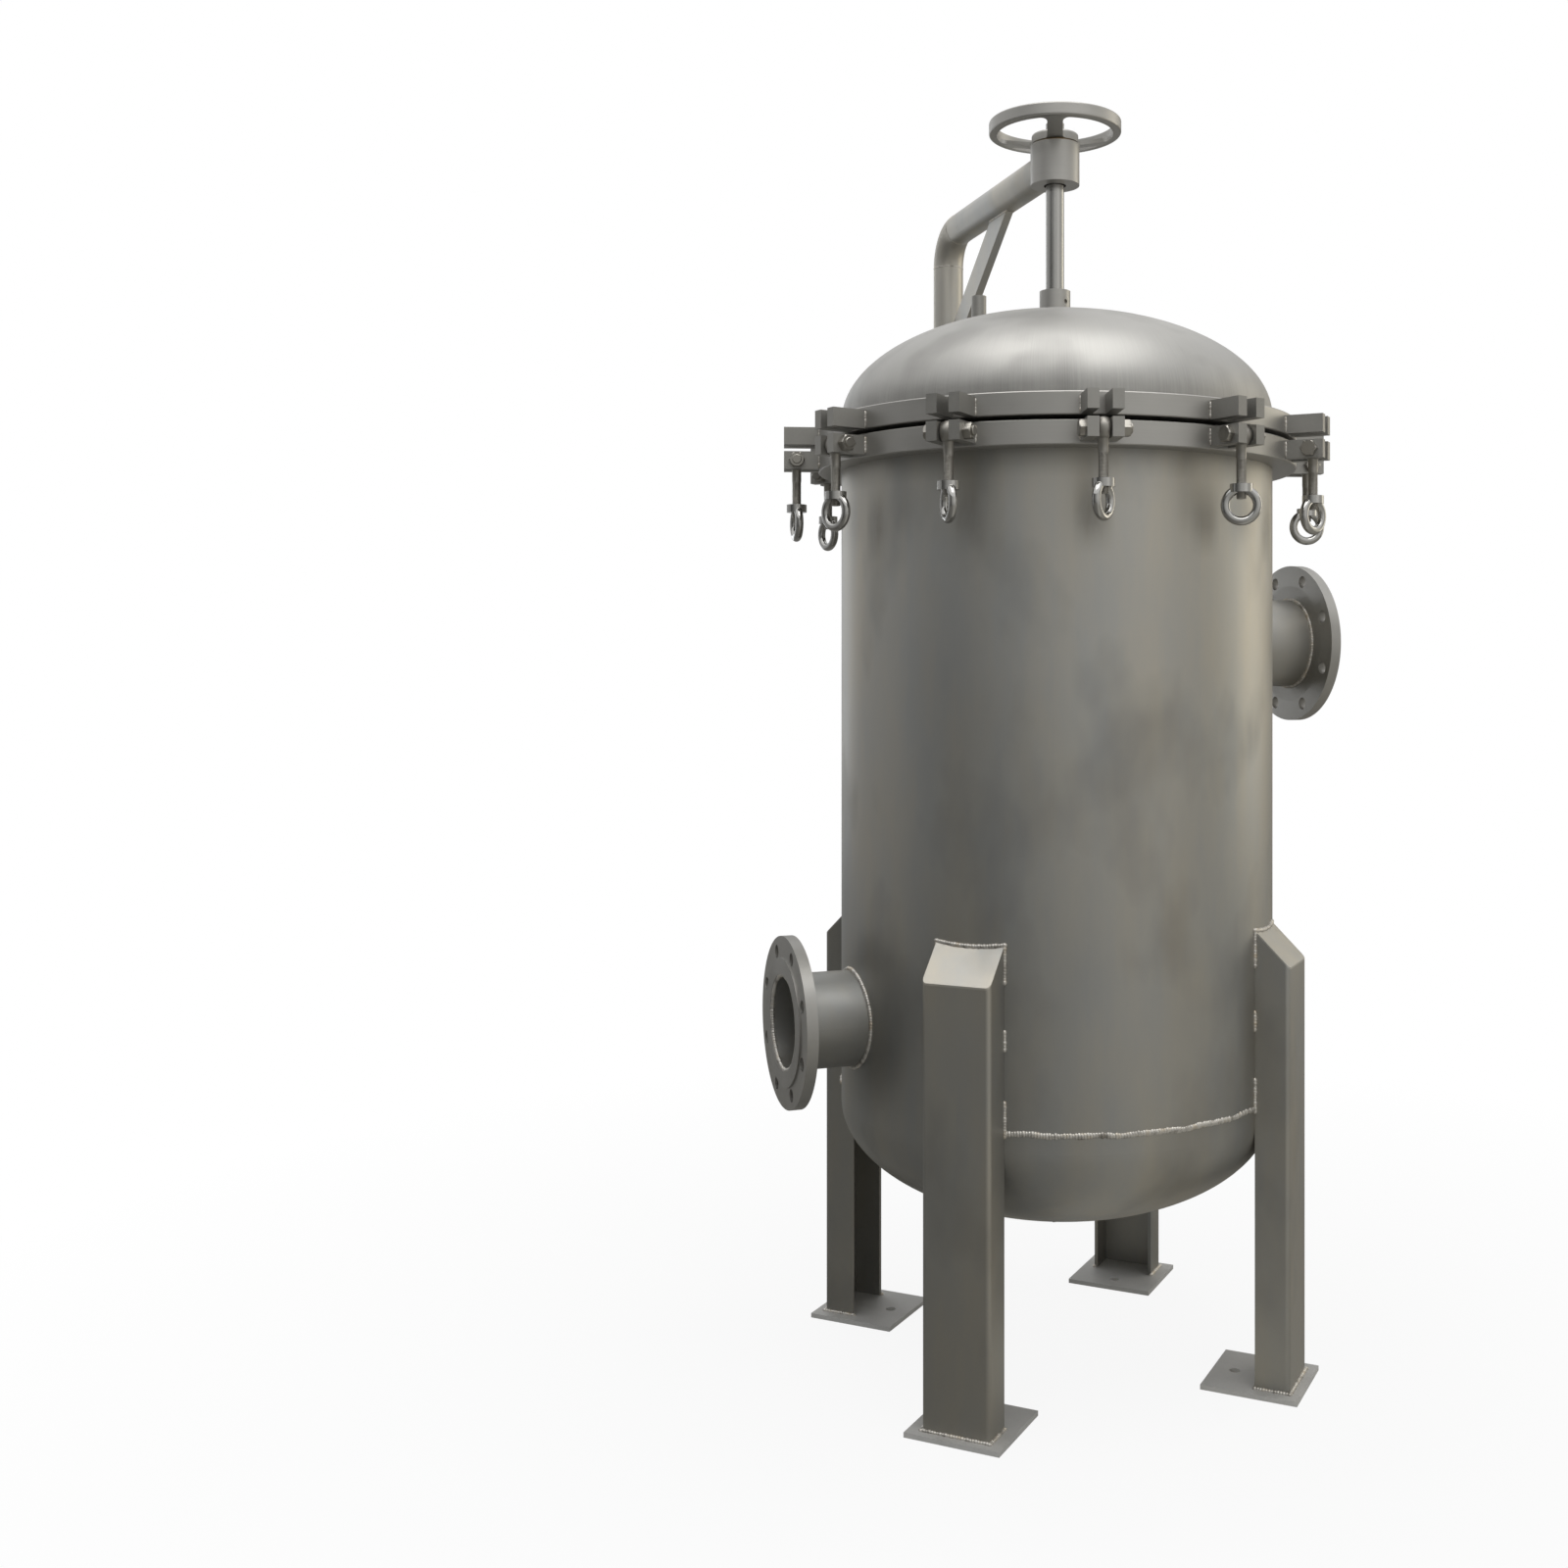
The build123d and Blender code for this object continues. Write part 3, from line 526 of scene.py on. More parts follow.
def weld_tree():
    """Lays overlapping ripples along every path."""
    inputs = {
        "Width": ("NodeSocketFloat", 0.006),
        "Ripple": ("NodeSocketFloat", 0.0035),
        "Unevenness": ("NodeSocketFloat", 0.2),
        "Seed": ("NodeSocketInt", 1),
        "Material": ("NodeSocketMaterial", None),
    }
    graph, given = new_tree("weld_ripples", inputs)
    curve = graph.node("GeometryNodeMeshToCurve", None, {0: given["Geometry"]})
    points = graph.node(
        "GeometryNodeResampleCurve",
        {"mode": "LENGTH"},
        {"Curve": curve, "Length": given["Ripple"]},
    )
    tangent = graph.node("GeometryNodeInputTangent")
    turned = graph.node(
        "FunctionNodeAlignRotationToVector", {"axis": "Z"}, {"Vector": tangent}
    )
    low, high = 1.0 - given["Unevenness"], 1.0 + given["Unevenness"]
    uneven = graph.node(
        "FunctionNodeRandomValue",
        {"data_type": "FLOAT"},
        {"Min": low, "Max": high, "Seed": given["Seed"]},
    )
    uneven = Field(graph, uneven.socket.node.outputs[1])
    half = given["Width"] * 0.5 * uneven
    along = given["Ripple"] * 1.1  # so that each ripple overlaps the next
    size = graph.node("ShaderNodeCombineXYZ", None, (half, half, along))
    ball = graph.node("GeometryNodeMeshUVSphere", None, {"Segments": 8, "Rings": 5, "Radius": 1.0})
    smooth = graph.node("GeometryNodeSetShadeSmooth", None, {0: ball})
    placed = graph.node(
        "GeometryNodeInstanceOnPoints",
        None,
        {"Points": points, "Instance": smooth, "Rotation": turned, "Scale": size},
    )
    return close_tree(graph, placed, given)


def array_tree():
    """Sets a part on every point, turned to face away from the vessel's axis."""
    inputs = {
        "Part": ("NodeSocketObject", None),
        "Material": ("NodeSocketMaterial", None),
    }
    graph, given = new_tree("parts_on_points", inputs)
    place = graph.node("GeometryNodeInputPosition")
    axes = graph.node("ShaderNodeSeparateXYZ", None, {0: place}).socket.node.outputs
    heading = Field(graph, axes[1]).math("ARCTAN2", Field(graph, axes[0]))
    turned = graph.node("ShaderNodeCombineXYZ", None, {2: heading})
    rotation = graph.node("FunctionNodeEulerToRotation", None, {0: turned})
    part = graph.node("GeometryNodeObjectInfo", None, {0: given["Part"]}, "Geometry")
    placed = graph.node(
        "GeometryNodeInstanceOnPoints",
        None,
        {"Points": given["Geometry"], "Instance": part, "Rotation": rotation},
    )
    return close_tree(graph, placed, given)


def grown(name, source_mesh, tree, values):
    """Runs a geometry tree on a mesh and returns the plain result."""
    carrier = linked(f"{name}_source", source_mesh)
    modifier = carrier.modifiers.new("tree", "NODES")
    modifier.node_group = tree
    for item in tree.interface.items_tree:
        if item.in_out == "INPUT" and item.name in values:
            modifier[item.identifier] = values[item.name]
    depsgraph = bpy.context.evaluated_depsgraph_get()
    mesh = bpy.data.meshes.new_from_object(carrier.evaluated_get(depsgraph))
    mesh.name = name
    bpy.data.objects.remove(carrier)
    return mesh


def repeated(name, part_mesh, spots, maker):
    """A copy of a part on every spot, as one mesh."""
    part = linked(f"{name}_part", part_mesh)
    tree = bpy.data.node_groups.get("parts_on_points") or array_tree()
    values = {"Part": part, "Material": finish(maker)}
    mesh = grown(name, line_mesh(f"{name}_spots", [[spot] for spot in spots]), tree, values)
    bpy.data.objects.remove(part)
    return mesh


def weld(name, lines, body, width, seed, unevenness=0.2):
    """A weld bead of overlapping ripples along paths, on one body."""
    tree = bpy.data.node_groups.get("weld_ripples") or weld_tree()
    values = {
        "Width": width,
        "Ripple": bpy.context.scene.housing_welds.ripple,
        "Unevenness": unevenness,
        "Seed": seed,
        "Material": finish(weld_metal),
    }
    mesh = grown(name, line_mesh(f"{name}_path", lines), tree, values)
    return new_piece(name, mesh, body, weld_metal)


def revolved(name, profile, steps, sharpest):
    """A closed mesh from a (radius, height) profile about Z, whose ends are on the axis."""
    mesh_data = bmesh.new()
    rows = []
    for radius, height in profile:
        turns = headings(steps) if radius > 1e-7 else [0.0]
        points = [(radius * cos(t), radius * sin(t), height) for t in turns]
        rows.append([mesh_data.verts.new(point) for point in points])
    for lower, upper in zip(rows, rows[1:]):
        for step in range(steps):
            following = (step + 1) % steps
            corners = [
                lower[step % len(lower)],
                lower[following % len(lower)],
                upper[following % len(upper)],
                upper[step % len(upper)],
            ]
            mesh_data.faces.new(list(dict.fromkeys(corners)))
    bmesh.ops.recalc_face_normals(mesh_data, faces=mesh_data.faces)
    return smooth_mesh(name, mesh_data, sharpest)


def dome_height(x, y):
    """Height of the lid dome's outside over a place."""
    return dome_centre + head_depth * sqrt(1 - (x * x + y * y) / shell_radius**2)


# ---- Settings ----
def colour_property(name, description, default):
    return bpy.props.FloatVectorProperty(
        name=name, description=description, subtype="COLOR", size=3, min=0, max=1, default=default
    )


def length_property(name, description, default):
    return bpy.props.FloatProperty(
        name=name, description=description, subtype="DISTANCE", unit="LENGTH", default=default
    )


class HousingFinish(bpy.types.PropertyGroup):
    """Colours of the finishes."""

    blasted: colour_property("Blasted steel", "Shell, heads, legs and davit", (0.40, 0.394, 0.377))
    rings: colour_property("Rings", "Closure rings and nozzle flanges", (0.40, 0.392, 0.372))
    lugs: colour_property("Lugs", "Sawn plate", (0.35, 0.342, 0.32))
    plates: colour_property("Base plates", "Blasted plate", (0.58, 0.57, 0.545))
    bolts: colour_property("Bolts", "Dull bolt steel", (0.36, 0.345, 0.315))
    bright: colour_property("Bright steel", "Stem and eye nuts", (0.46, 0.455, 0.44))
    felt: colour_property("Felt", "Filter bags", (0.80, 0.78, 0.72))


class HousingWelds(bpy.types.PropertyGroup):
    """Sizes of the weld beads."""

    seam: length_property("Seam bead", "Width of the bottom seam's bead", 0.012)
    fillet: length_property("Fillet bead", "Width of the beads round nozzles and legs", 0.0085)
    small: length_property("Small bead", "Width of the beads on lugs and davit", 0.0042)
    ripple: length_property("Ripple", "Distance from ripple to ripple", 0.0045)
    leg_width: length_property("Leg width", "Width of a leg across the radius", 0.115)
    leg_face: length_property("Leg face", "Vessel axis to a leg's outer face", 0.428)


class HousingThreads(bpy.types.PropertyGroup):
    """Sizes of the swing bolts' threads and the pivot bolts."""

    pitch: length_property("Pitch", "Rise of the thread in one turn", 0.002)
    depth: length_property("Depth", "Crest to root", 0.0009)
    plain_length: length_property("Plain shank", "Pivot to the start of the thread", 0.034)
    flats: length_property("Across flats", "Width of hexagon heads and nuts", 0.024)


class HousingBags(bpy.types.PropertyGroup):
    """Sizes of the filter bags."""

    pitch: length_property("Pitch", "Centre bag to the outer ones", 0.235)
    mouth: length_property("Mouth", "Radius of the felt tube", 0.0795)
    rim: length_property("Rim", "Outer radius of the snap ring", 0.0895)


class HousingStage(bpy.types.PropertyGroup):
    """Camera and light."""

    lens: bpy.props.FloatProperty(
        name="Lens", description="Focal length", subtype="DISTANCE_CAMERA", default=39.03
    )
    key: bpy.props.FloatProperty(
        name="Key light", description="Power of the overhead softbox", subtype="POWER", default=52.0
    )
    side: bpy.props.FloatProperty(
        name="Side light", description="Power of a side strip", subtype="POWER", default=10.0
    )
    surround: bpy.props.FloatProperty(
        name="Surround", description="Brightness of the room's light", default=0.55
    )


# ---- Operators ----
class HOUSING_OT_vessel(bpy.types.Operator):
    """Finish the shell, heads, legs and base plates"""

    bl_idname = "housing.vessel"
    bl_label = "Vessel and legs"

    def execute(self, context):
        dress(blasted_steel, "shell_barrel", "bottom_head", "legs")
        dress(blasted_steel, "inlet_pipe", "outlet_pipe", "drain_coupling")
        dress(dome_steel, "lid_dome")
        dress(lug_steel, "vent_socket")
        dress(plate_steel, "base_plates")
        dress(pivot_steel, "drain_plug")
        return {"FINISHED"}


class HOUSING_OT_closure(bpy.types.Operator):
    """Finish the closure rings, lugs and O-ring"""

    bl_idname = "housing.closure"
    bl_label = "Closure"

    def execute(self, context):
        dress(ring_steel, "body_flange", "lid_flange")
        dress(lug_steel, "body_lugs", "lid_lugs")
        dress(black_rubber, "lid_gasket")
        return {"FINISHED"}


class HOUSING_OT_nozzles(bpy.types.Operator):
    """Finish the two nozzle flanges"""

    bl_idname = "housing.nozzles"
    bl_label = "Nozzle flanges"

    def execute(self, context):
        dress(inlet_steel, "inlet_flange")
        dress(outlet_steel, "outlet_flange")
        return {"FINISHED"}


class HOUSING_OT_davit(bpy.types.Operator):
    """Finish the davit, its bearings, the stem and the handwheel"""

    bl_idname = "housing.davit"
    bl_label = "Davit, stem and handwheel"

    def execute(self, context):
        dress(blasted_steel, "davit_pipe", "davit_brace", "davit_socket", "davit_brackets")
        dress(ring_steel, "davit_boss", "stem_collar", "handwheel")
        dress(stem_steel, "stem")
        dress(pivot_steel, "collar_pin")
        dress(bronze, "guide_bush", "thrust_washer", "socket_bushes", "stem_nut")
        return {"FINISHED"}


class HOUSING_OT_inside(bpy.types.Operator):
    """Finish the bag plate, baskets and retainer"""

    bl_idname = "housing.inside"
    bl_label = "Bag plate and baskets"

    def execute(self, context):
        dress(ring_steel, "bag_plate", "bag_retainer")
        dress(blasted_steel, "bag_baskets")
        dress(pivot_steel, "retainer_screws")
        return {"FINISHED"}


class HOUSING_OT_seam_welds(bpy.types.Operator):
    """Lay the bead round the seam of barrel and bottom head"""

    bl_idname = "housing.seam_welds"
    bl_label = "Seam bead"

    # The bead is ground flush on the rest of the seam.
    start, end = radians(-132), radians(165)
    steps = 240

    def execute(self, context):
        width = context.scene.housing_welds.seam
        sunk = shell_radius - width / 4
        line = []
        for step in range(self.steps + 1):
            turn = self.start + (self.end - self.start) * step / self.steps
            wander = 0.0008 * sin(23 * turn) + 0.0006 * sin(41 * turn)
            line.append((sunk * cos(turn), sunk * sin(turn), seam_height + wander))
        weld("seam_bead", [line], "vessel", width, 3, unevenness=0.14)
        return {"FINISHED"}


class HOUSING_OT_nozzle_welds(bpy.types.Operator):
    """Lay the beads where the nozzle pipes meet the shell and their flanges"""

    bl_idname = "housing.nozzle_welds"
    bl_label = "Nozzle beads"

    recess = 0.0045  # from a flange's face back to its inner bead

    def execute(self, context):
        width = context.scene.housing_welds.fillet
        reach = pipe_radius + width / 4
        lines = []
        for side, height in ((1, inlet_height), (-1, outlet_height)):
            saddle = []
            for turn in headings(96, closing=1):
                y = reach * cos(turn)
                x = sqrt(shell_radius**2 - y * y)
                saddle.append((side * x, y, height + reach * sin(turn)))
            lines.append(saddle)
            back = Vector((side * nozzle_back, 0, height))
            lines.append(ring_line(back, pipe_radius, y_axis, z_axis))
            mouth = Vector((side * (nozzle_face - self.recess), 0, height))
            lines.append(ring_line(mouth, pipe_radius - 0.0012, y_axis, z_axis))
        weld("nozzle_beads", lines, "vessel", width, 5, unevenness=0.12)
        return {"FINISHED"}


class HOUSING_OT_leg_welds(bpy.types.Operator):
    """Lay the beads that hold the legs to the shell and to their plates"""

    bl_idname = "housing.leg_welds"
    bl_label = "Leg beads"

    stitches = ((0.700, 0.752), (0.596, 0.622), (0.462, 0.512))  # up each side of a leg
    cap_steps = 12

    def execute(self, context):
        settings = context.scene.housing_welds
        half = settings.leg_width / 2
        edge = sqrt(shell_radius**2 - half**2)
        lines = []
        for angle in leg_angles:
            out, across = outward(angle)
            cap = []
            for step in range(-self.cap_steps, self.cap_steps + 1):
                offset = half * step / self.cap_steps
                reach = sqrt(shell_radius**2 - offset**2)
                cap.append(out * reach + across * offset + raised(legs_top + edge - reach))
            lines.append(cap)
            corners = []
            for side in (-1, 1):
                foot = out * edge + across * (half * side)
                lines += [[foot + raised(low), foot + raised(high)] for low, high in self.stitches]
                corner = out * settings.leg_face + across * (half * side) + raised(plate_top)
                corners.append(corner)
                lines.append([foot + raised(plate_top), corner])
            lines.append(corners)
        weld("leg_beads", lines, "vessel", settings.fillet, 7, unevenness=0.15)
        return {"FINISHED"}


class HOUSING_OT_lug_welds(bpy.types.Operator):
    """Lay the short upright beads beside the lugs of both closure rings"""

    bl_idname = "housing.lug_welds"
    bl_label = "Lug beads"

    offsets = (-0.028, 0.028)  # the outer sides of a pair of lugs
    inset = 0.0065  # a bead stops this far short of its lug's ends, clear of the other ring's
    stand_off = 0.0006  # from the ring's edge to the middle of a bead

    def lines(self, low, high):
        ends = (low[2] + self.inset, high[2] - self.inset)
        lines = []
        for pivot in clamp_pivots.values():
            out, across = outward(atan2(pivot.y, pivot.x))
            for offset in self.offsets:
                reach = sqrt(ring_radius**2 - offset**2) + self.stand_off
                foot = out * reach + across * offset
                lines.append([foot + raised(height) for height in ends])
        return lines

    def execute(self, context):
        width = context.scene.housing_welds.small
        weld("body_lug_beads", self.lines(lug_low, lug_high), "vessel", width, 11)
        weld("lid_lug_beads", self.lines(lid_lug_low, lid_lug_high), "lid", width, 13)
        return {"FINISHED"}


class HOUSING_OT_davit_welds(bpy.types.Operator):
    """Lay the beads on the davit, the stem collar and the vent"""

    bl_idname = "housing.davit_welds"
    bl_label = "Davit and lid beads"

    elbow_radius = 0.066
    sunk = 0.0008  # how far the elbow's beads lie below the pipe's surface
    brace_half = 0.0075  # half of the brace's thickness
    brace_at_post = (1.8063, 1.8701)  # heights where the brace meets the post
    brace_at_arm = (0.2056, 0.2860)  # where it meets the arm, from the stem

    def elbow_lines(self):
        below = Vector((0, post_distance, arm_height - self.elbow_radius))
        ahead = Vector((0, post_distance - self.elbow_radius, arm_height))
        radius = post_radius - self.sunk
        return [ring_line(below, radius, x_axis, y_axis), ring_line(ahead, radius, x_axis, z_axis)]

    def brace_lines(self):
        reach = sqrt(post_radius**2 - self.brace_half**2)
        lines = []
        for x in (-self.brace_half, self.brace_half):
            lines.append([(x, post_distance - reach, z) for z in self.brace_at_post])
            lines.append([(x, y, arm_height - reach) for y in self.brace_at_arm])
        return lines

    def boss_line(self):
        line = []
        for turn in headings(72, closing=1):
            x = post_radius * cos(turn)
            y = sqrt(boss_radius**2 - x * x)
            line.append((x, y, arm_height + post_radius * sin(turn)))
        return line

    def vent_line(self):
        line = []
        for turn in headings(48, closing=1):
            x = vent_place[0] + vent_radius * cos(turn)
            y = vent_place[1] + vent_radius * sin(turn)
            line.append((x, y, dome_height(x, y)))
        return line

    def execute(self, context):
        width = context.scene.housing_welds.small
        foot = raised(dome_height(collar_radius, 0))
        collar = ring_line(foot, collar_radius, x_axis, y_axis)
        weld("davit_beads", self.elbow_lines(), "davit", width * 0.7, 17, unevenness=0.1)
        weld("brace_beads", self.brace_lines(), "davit", width, 29)
        weld("boss_bead", [self.boss_line()], "davit", width, 19, unevenness=0.15)
        weld("lid_beads", [collar, self.vent_line()], "lid", width, 23, unevenness=0.15)
        return {"FINISHED"}


class HOUSING_OT_swing_bolts(bpy.types.Operator):
    """Cut real threads on the swing bolts and brighten the eye nuts"""

    bl_idname = "housing.swing_bolts"
    bl_label = "Swing bolts and eye nuts"

    around, rows_per_turn = 20, 6
    end_height, end_depth = 0.0012, 0.001  # the chamfer at the bolt's end

    def threaded(self, mesh_data, centre, top, bottom, radius, settings):
        """Adds a closed threaded rod hanging from top down to bottom."""
        rows = ceil((top - bottom) / settings.pitch * self.rows_per_turn)
        rings = []
        for row in range(rows + 1):
            height = top + (bottom - top) * row / rows
            fade = min(1.0, (top - height) / settings.pitch / 2)
            end = max(0.0, 1 - (height - bottom) / self.end_height) * self.end_depth
            ring = []
            for step, turn in enumerate(headings(self.around)):
                phase = (top - height) / settings.pitch - step / self.around
                tooth = abs((phase % 1.0) - 0.5) * 2
                reach = radius - settings.depth * tooth * fade - end
                place = centre + Vector((reach * cos(turn), reach * sin(turn), height))
                ring.append(mesh_data.verts.new(place))
            rings.append(ring)
        skin(mesh_data, rings)

    def execute(self, context):
        settings = context.scene.housing_threads
        for body, pivot in clamp_pivots.items():
            number = body.split("_")[1]
            node_name = f"swing_bolt_{number}"
            cut = pivot.z - settings.plain_length
            mesh_data = bmesh.new()
            mesh_data.from_mesh(nodes[node_name].data)
            bmesh.ops.remove_doubles(mesh_data, verts=mesh_data.verts, dist=1e-6)
            everything = mesh_data.verts[:] + mesh_data.edges[:] + mesh_data.faces[:]
            plane = {"plane_co": (0, 0, cut), "plane_no": (0, 0, -1)}
            bmesh.ops.bisect_plane(mesh_data, geom=everything, clear_outer=True, **plane)
            shank = max(
                hypot(vert.co.x - pivot.x, vert.co.y - pivot.y)
                for vert in mesh_data.verts
                if abs(vert.co.z - cut) < 1e-5
            )
            centre = Vector((pivot.x, pivot.y, 0))
            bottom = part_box(node_name)[0][2]
            self.threaded(mesh_data, centre, cut, bottom, shank, settings)
            mesh = smooth_mesh(node_name, mesh_data, 35)
            new_piece(f"threaded_bolt_{number}", mesh, body, bolt_steel, (node_name,))
            dress(bright_steel, f"eye_nut_{number}")
        return {"FINISHED"}


class HOUSING_OT_pivot_bolts(bpy.types.Operator):
    """Set a chamfered hexagon bolt and nut through every pair of body lugs"""

    bl_idname = "housing.pivot_bolts"
    bl_label = "Pivot bolts"

    half_span = 0.028  # half of the width over a pair of lugs
    head_height = 0.010
    nut_height = 0.013
    stick_out = 0.003
    radius = 0.008
    chamfer = 0.0018

    def bar(self, mesh_data, levels, around, flats=None):
        """Adds a bar along Y through (y, radius) levels, with six flats where they are given."""
        rings = []
        for y, limit in levels:
            ring = []
            for turn in headings(around):
                folded = turn % (pi / 3) - pi / 6
                reach = min(flats / 2 / cos(folded), limit) if flats else limit
                ring.append(mesh_data.verts.new((reach * cos(turn), y, reach * sin(turn))))
            rings.append(ring)
        skin(mesh_data, rings)

    def execute(self, context):
        flats = context.scene.housing_threads.flats
        corner, turned = flats / sqrt(3), flats / 2 * 0.96
        head, span, nut = -self.half_span - self.head_height, self.half_span, self.nut_height
        tip = span + nut + self.stick_out
        head_levels = ((head, turned), (head + self.chamfer, corner), (-span, corner))
        nut_levels = ((span, corner), (span + nut - self.chamfer, corner), (span + nut, turned))
        rod_levels = ((-span, self.radius), (tip - 0.001, self.radius), (tip, self.radius - 0.001))
        mesh_data = bmesh.new()
        self.bar(mesh_data, head_levels, 48, flats)
        self.bar(mesh_data, nut_levels, 48, flats)
        self.bar(mesh_data, rod_levels, 24)
        mesh = smooth_mesh("pivot_bolt_pattern", mesh_data, 25)
        mesh = repeated("pivot_bolt_set", mesh, clamp_pivots.values(), pivot_steel)
        replaced = ("pivot_bolts",)
        new_piece("pivot_bolt_set", mesh, "vessel", pivot_steel, replaced)
        return {"FINISHED"}


class HOUSING_OT_filter_bags(bpy.types.Operator):
    """Hang a felt bag with a snap ring in every basket"""

    bl_idname = "housing.filter_bags"
    bl_label = "Filter bags"

    ring_height = 0.006
    wall = 0.0025
    foot_height = 0.022  # of the rounded foot
    creases = 28

    def bag(self, settings):
        """One bag about the Z axis: felt tube, closed foot, and a rolled rim with its seam."""
        low, high = bag_low[2], bag_high[2]
        seat = high - self.ring_height
        mouth, rim = settings.mouth, settings.rim
        foot, top = low + self.foot_height, seat - 0.012
        profile = [(0, low + 0.001), (mouth * 0.55, low + 0.0015), (mouth - 0.008, low + 0.004)]
        profile += [(mouth - 0.002, low + 0.010), (mouth, foot)]
        for step in range(1, self.creases):
            share = step / self.creases
            crease = 0.0009 * sin(share * 37) * sin(share * pi)
            profile.append((mouth - abs(crease), foot + (top - foot) * share))
        profile += [(mouth, seat - 0.010), (mouth + 0.0012, seat - 0.0085), (mouth, seat - 0.007)]
        profile += [(mouth, seat), (rim - 0.002, seat), (rim, seat + 0.002), (rim, seat + 0.004)]
        profile += [(rim - 0.002, high), (mouth + 0.004, high), (mouth + 0.001, high - 0.001)]
        profile += [(mouth - self.wall, high - 0.004), (mouth - self.wall, low + 0.03)]
        profile += [(mouth - 0.012, low + 0.008), (0, low + 0.006)]
        return revolved("filter_bag_pattern", profile, 40, 50)

    def execute(self, context):
        settings = context.scene.housing_bags
        spots = [Vector((0, 0, 0))]
        spots += [outward(angle)[0] * settings.pitch for angle in basket_angles]
        mesh = repeated("felt_bags", self.bag(settings), spots, felt)
        new_piece("felt_bags", mesh, "vessel", felt, ("filter_bags",))
        return {"FINISHED"}


class HOUSING_OT_stage(bpy.types.Operator):
    """Set the floor, room light, screens of painted reflection, softboxes and camera"""

    bl_idname = "housing.stage"
    bl_label = "Stage"

    camera_place = (-1.228, -2.736, 1.185)
    camera_heading = 19.8  # degrees from +Y towards +X
    camera_shift = (-0.0899, -0.0733)
    lamp_target = (0, 0, 1.1)
    softboxes = (  # name, place, width, height, the setting with its power, colour
        ("overhead", (-0.2, -0.8, 4.4), 3.0, 3.0, "key", (1.0, 0.99, 0.97)),
        ("right_strip", (3.2, 0.2, 1.9), 1.0, 2.6, "side", (1.0, 0.93, 0.80)),
        ("back_strip", (-0.9, 3.4, 1.9), 0.8, 2.6, "side", (0.94, 0.97, 1.0)),
    )
    floor_reach, floor_drop = 14.0, 0.0006
    wall_reach, wall_foot, wall_top, wall_steps = 5.0, -0.2, 4.0, 96
    mat_drop = 0.0003
    foot_level = 0.66  # brightness of the walls' foot against their top
    # Painted reflections: brightness of the glowing studio walls round the compass, in degrees from
    # +X towards +Y.
    reflection_tints = (
        (0, (0.98, 0.93, 0.80)),
        (10, (0.76, 0.72, 0.62)),
        (24, (0.34, 0.325, 0.29)),
        (42, (0.20, 0.197, 0.186)),
        (66, (0.50, 0.50, 0.49)),
        (100, (0.32, 0.32, 0.32)),
        (131, (0.56, 0.56, 0.56)),
        (165, (0.38, 0.38, 0.375)),
        (184, (0.10, 0.10, 0.096)),
        (207, (0.14, 0.14, 0.136)),
        (229, (0.38, 0.38, 0.37)),
        (250, (0.60, 0.60, 0.585)),
        (270, (0.66, 0.655, 0.635)),
        (292, (0.90, 0.89, 0.86)),
        (315, (0.54, 0.53, 0.51)),
        (334, (0.56, 0.545, 0.50)),
        (348, (1.0, 0.96, 0.84)),
    )
    # The same for the floor mat's painted reflections.
    mat_reflection_tints = (
        (8, (0.28, 0.265, 0.235)),
        (30, (0.24, 0.232, 0.21)),
        (106, (0.24, 0.236, 0.22)),
        (165, (0.16, 0.156, 0.145)),
        (204, (0.20, 0.196, 0.18)),
        (229, (0.22, 0.216, 0.20)),
        (250, (0.30, 0.29, 0.265)),
        (270, (0.48, 0.47, 0.435)),
        (292, (0.48, 0.47, 0.43)),
        (315, (0.38, 0.37, 0.335)),
        (350, (0.34, 0.325, 0.29)),
    )

    def seen(self, tree):
        """1 for what the camera, a mirror or glass meets, and 0 for the light on the object."""
        rays = tree.node("ShaderNodeLightPath").socket.node.outputs
        names = ("Is Camera Ray", "Is Glossy Ray", "Is Transmission Ray")
        camera, glossy, through = (Field(tree, rays[name]) for name in names)
        return camera.math("MAXIMUM", glossy).math("MAXIMUM", through)

    def screen(self, name, points, faces, tree, surface):
        """Adds a plain mesh of the studio with its surface shader."""
        tree.node("ShaderNodeOutputMaterial", None, {"Surface": surface})
        mesh = bpy.data.meshes.new(name)
        mesh.from_pydata(points, [], faces)
        mesh.materials.append(tree.material)
        screen = linked(name, mesh)
        return screen

    def floor(self):
        """A pale floor that keeps the object's shadow and turns white further out."""
        reach, low = self.floor_reach, -self.floor_drop
        signs = ((-1, -1), (1, -1), (1, 1), (-1, 1))
        corners = [(x * reach, y * reach, low) for x, y in signs]
        tree = Finish("studio_floor")
        lit = tree.node("ShaderNodeBsdfDiffuse", None, {"Color": (0.80, 0.80, 0.79, 1.0)})
        glow = {"Color": (1.0, 1.0, 1.0, 1.0), "Strength": 1.0}
        white = tree.node("ShaderNodeEmission", None, glow)
        fade = tree.spread(tree.from_axis(), 0.6, 2.2, 0.9, 1.0)
        share = self.seen(tree) * fade
        both = tree.node("ShaderNodeMixShader", None, {0: share, 1: lit, 2: white})
        self.screen("studio_floor", corners, [(0, 1, 2, 3)], tree, both)

    def room(self, strength):
        """White where it is seen, and a soft even light for the rest."""
        world = bpy.data.worlds.new("studio_room")
        bpy.context.scene.world = world
        world.use_nodes = True
        tree = Graph(world.node_tree)
        dim = {"Color": (0.95, 0.97, 1.0, 1.0), "Strength": strength}
        glow = {"Color": (1.0, 1.0, 1.0, 1.0), "Strength": 1.0}
        soft = tree.node("ShaderNodeBackground", None, dim)
        white = tree.node("ShaderNodeBackground", None, glow)
        both = tree.node("ShaderNodeMixShader", None, {0: self.seen(tree), 1: soft, 2: white})
        tree.node("ShaderNodeOutputWorld", None, {"Surface": both})

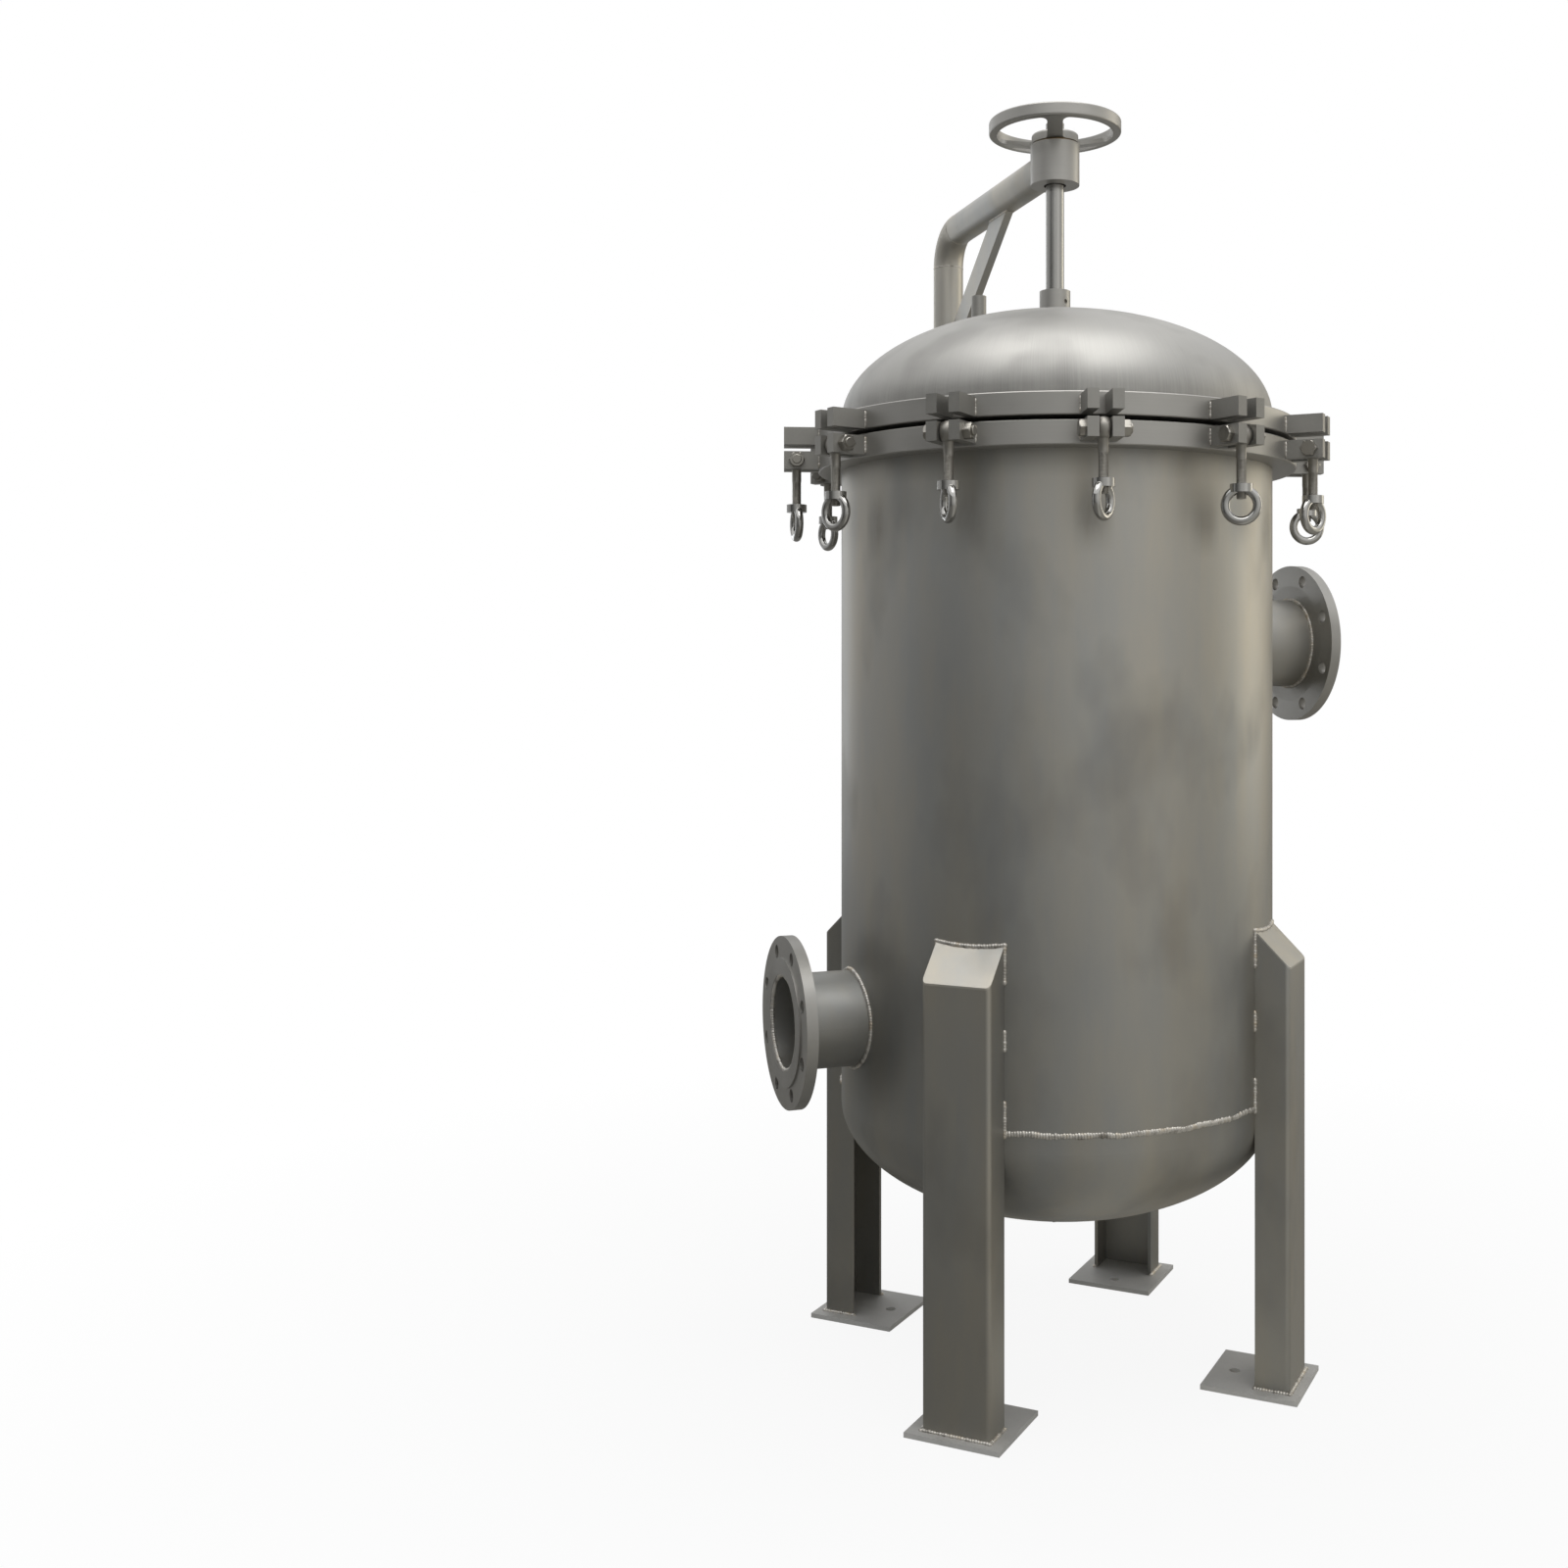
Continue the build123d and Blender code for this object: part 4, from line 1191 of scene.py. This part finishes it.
    def flag(self, name, points, faces, tints, foot=1.0):
        """Hangs a glowing screen that only reflections see: a painted reflection."""
        tree = Finish(name)
        around = tree.heading() / (2 * pi) + 0.5
        stops = sorted(((degrees + 180) % 360 / 360, tint) for degrees, tint in tints)
        level = tree.spread(tree.z, 0.0, 1.9, foot, 1.0)
        colour = tree.shaded(tree.ramp(around, *stops), level)
        glow = tree.node("ShaderNodeEmission", None, {"Color": colour, "Strength": 1.0})
        flag = self.screen(name, points, faces, tree, glow)
        for kind in ("camera", "diffuse", "shadow", "transmission"):
            setattr(flag, f"visible_{kind}", False)

    def walls(self):
        """Glowing grey walls and floor mat that only reflections see: painted reflections that
        darken and light the metal round the compass.
        """
        reach, steps = self.wall_reach, self.wall_steps
        circle = [(reach * cos(t), reach * sin(t)) for t in headings(steps)]
        points = [(*place, z) for z in (self.wall_foot, self.wall_top) for place in circle]
        pairs = [(step, (step + 1) % steps) for step in range(steps)]
        faces = [(here, there, there + steps, here + steps) for here, there in pairs]
        self.flag("studio_wall", points, faces, self.reflection_tints, self.foot_level)
        mat = [(*place, -self.mat_drop) for place in circle]
        self.flag("studio_mat", mat, [tuple(range(steps))], self.mat_reflection_tints)

    def softbox(self, name, place, width, height, power, colour):
        light = bpy.data.lights.new(name, "AREA")
        light.shape = "RECTANGLE"
        light.size, light.size_y = width, height
        light.energy = power
        light.color = colour
        lamp = linked(name, light)
        ahead = Vector(self.lamp_target) - Vector(place)
        lamp.location = place
        lamp.rotation_euler = ahead.to_track_quat("-Z", "Y").to_euler()

    def camera(self, lens):
        data = bpy.data.cameras.new("studio_camera")
        data.lens = lens
        data.sensor_width = 36.0
        data.shift_x, data.shift_y = self.camera_shift
        camera = linked("studio_camera", data)
        camera.location = self.camera_place
        camera.rotation_euler = (pi / 2, 0, -radians(self.camera_heading))
        bpy.context.scene.camera = camera

    def execute(self, context):
        settings = context.scene.housing_stage
        context.scene.view_settings.view_transform = "Standard"
        self.floor()
        self.room(settings.surround)
        self.walls()
        for name, place, width, height, power, colour in self.softboxes:
            self.softbox(name, place, width, height, getattr(settings, power), colour)
        self.camera(settings.lens)
        return {"FINISHED"}


class HOUSING_PT_sidebar(bpy.types.Panel):
    """The steps that dress the housing"""

    bl_idname = "HOUSING_PT_sidebar"
    bl_label = "Filter housing"
    bl_space_type = "VIEW_3D"
    bl_region_type = "UI"
    bl_category = "Filter housing"

    def draw(self, context):
        for group in GROUPS:
            column = self.layout.column(align=True)
            settings = getattr(context.scene, group)
            for name in settings.__annotations__:
                column.prop(settings, name)
        for operator in OPERATORS:
            self.layout.operator(operator.bl_idname)


GROUPS = {
    "housing_finish": HousingFinish,
    "housing_welds": HousingWelds,
    "housing_threads": HousingThreads,
    "housing_bags": HousingBags,
    "housing_stage": HousingStage,
}
OPERATORS = (
    HOUSING_OT_vessel,
    HOUSING_OT_closure,
    HOUSING_OT_nozzles,
    HOUSING_OT_davit,
    HOUSING_OT_inside,
    HOUSING_OT_seam_welds,
    HOUSING_OT_nozzle_welds,
    HOUSING_OT_leg_welds,
    HOUSING_OT_lug_welds,
    HOUSING_OT_davit_welds,
    HOUSING_OT_swing_bolts,
    HOUSING_OT_pivot_bolts,
    HOUSING_OT_filter_bags,
    HOUSING_OT_stage,
)


def register():
    for name, group in GROUPS.items():
        bpy.utils.register_class(group)
        setattr(bpy.types.Scene, name, bpy.props.PointerProperty(type=group))
    for operator in OPERATORS:
        bpy.utils.register_class(operator)
    bpy.utils.register_class(HOUSING_PT_sidebar)


def unregister():
    bpy.utils.unregister_class(HOUSING_PT_sidebar)
    for operator in reversed(OPERATORS):
        bpy.utils.unregister_class(operator)
    for name, group in reversed(GROUPS.items()):
        delattr(bpy.types.Scene, name)
        bpy.utils.unregister_class(group)


def main():
    register()
    for operator in OPERATORS:
        group, name = operator.bl_idname.split(".")
        getattr(getattr(bpy.ops, group), name)()


if __name__ == "__main__":
    main()
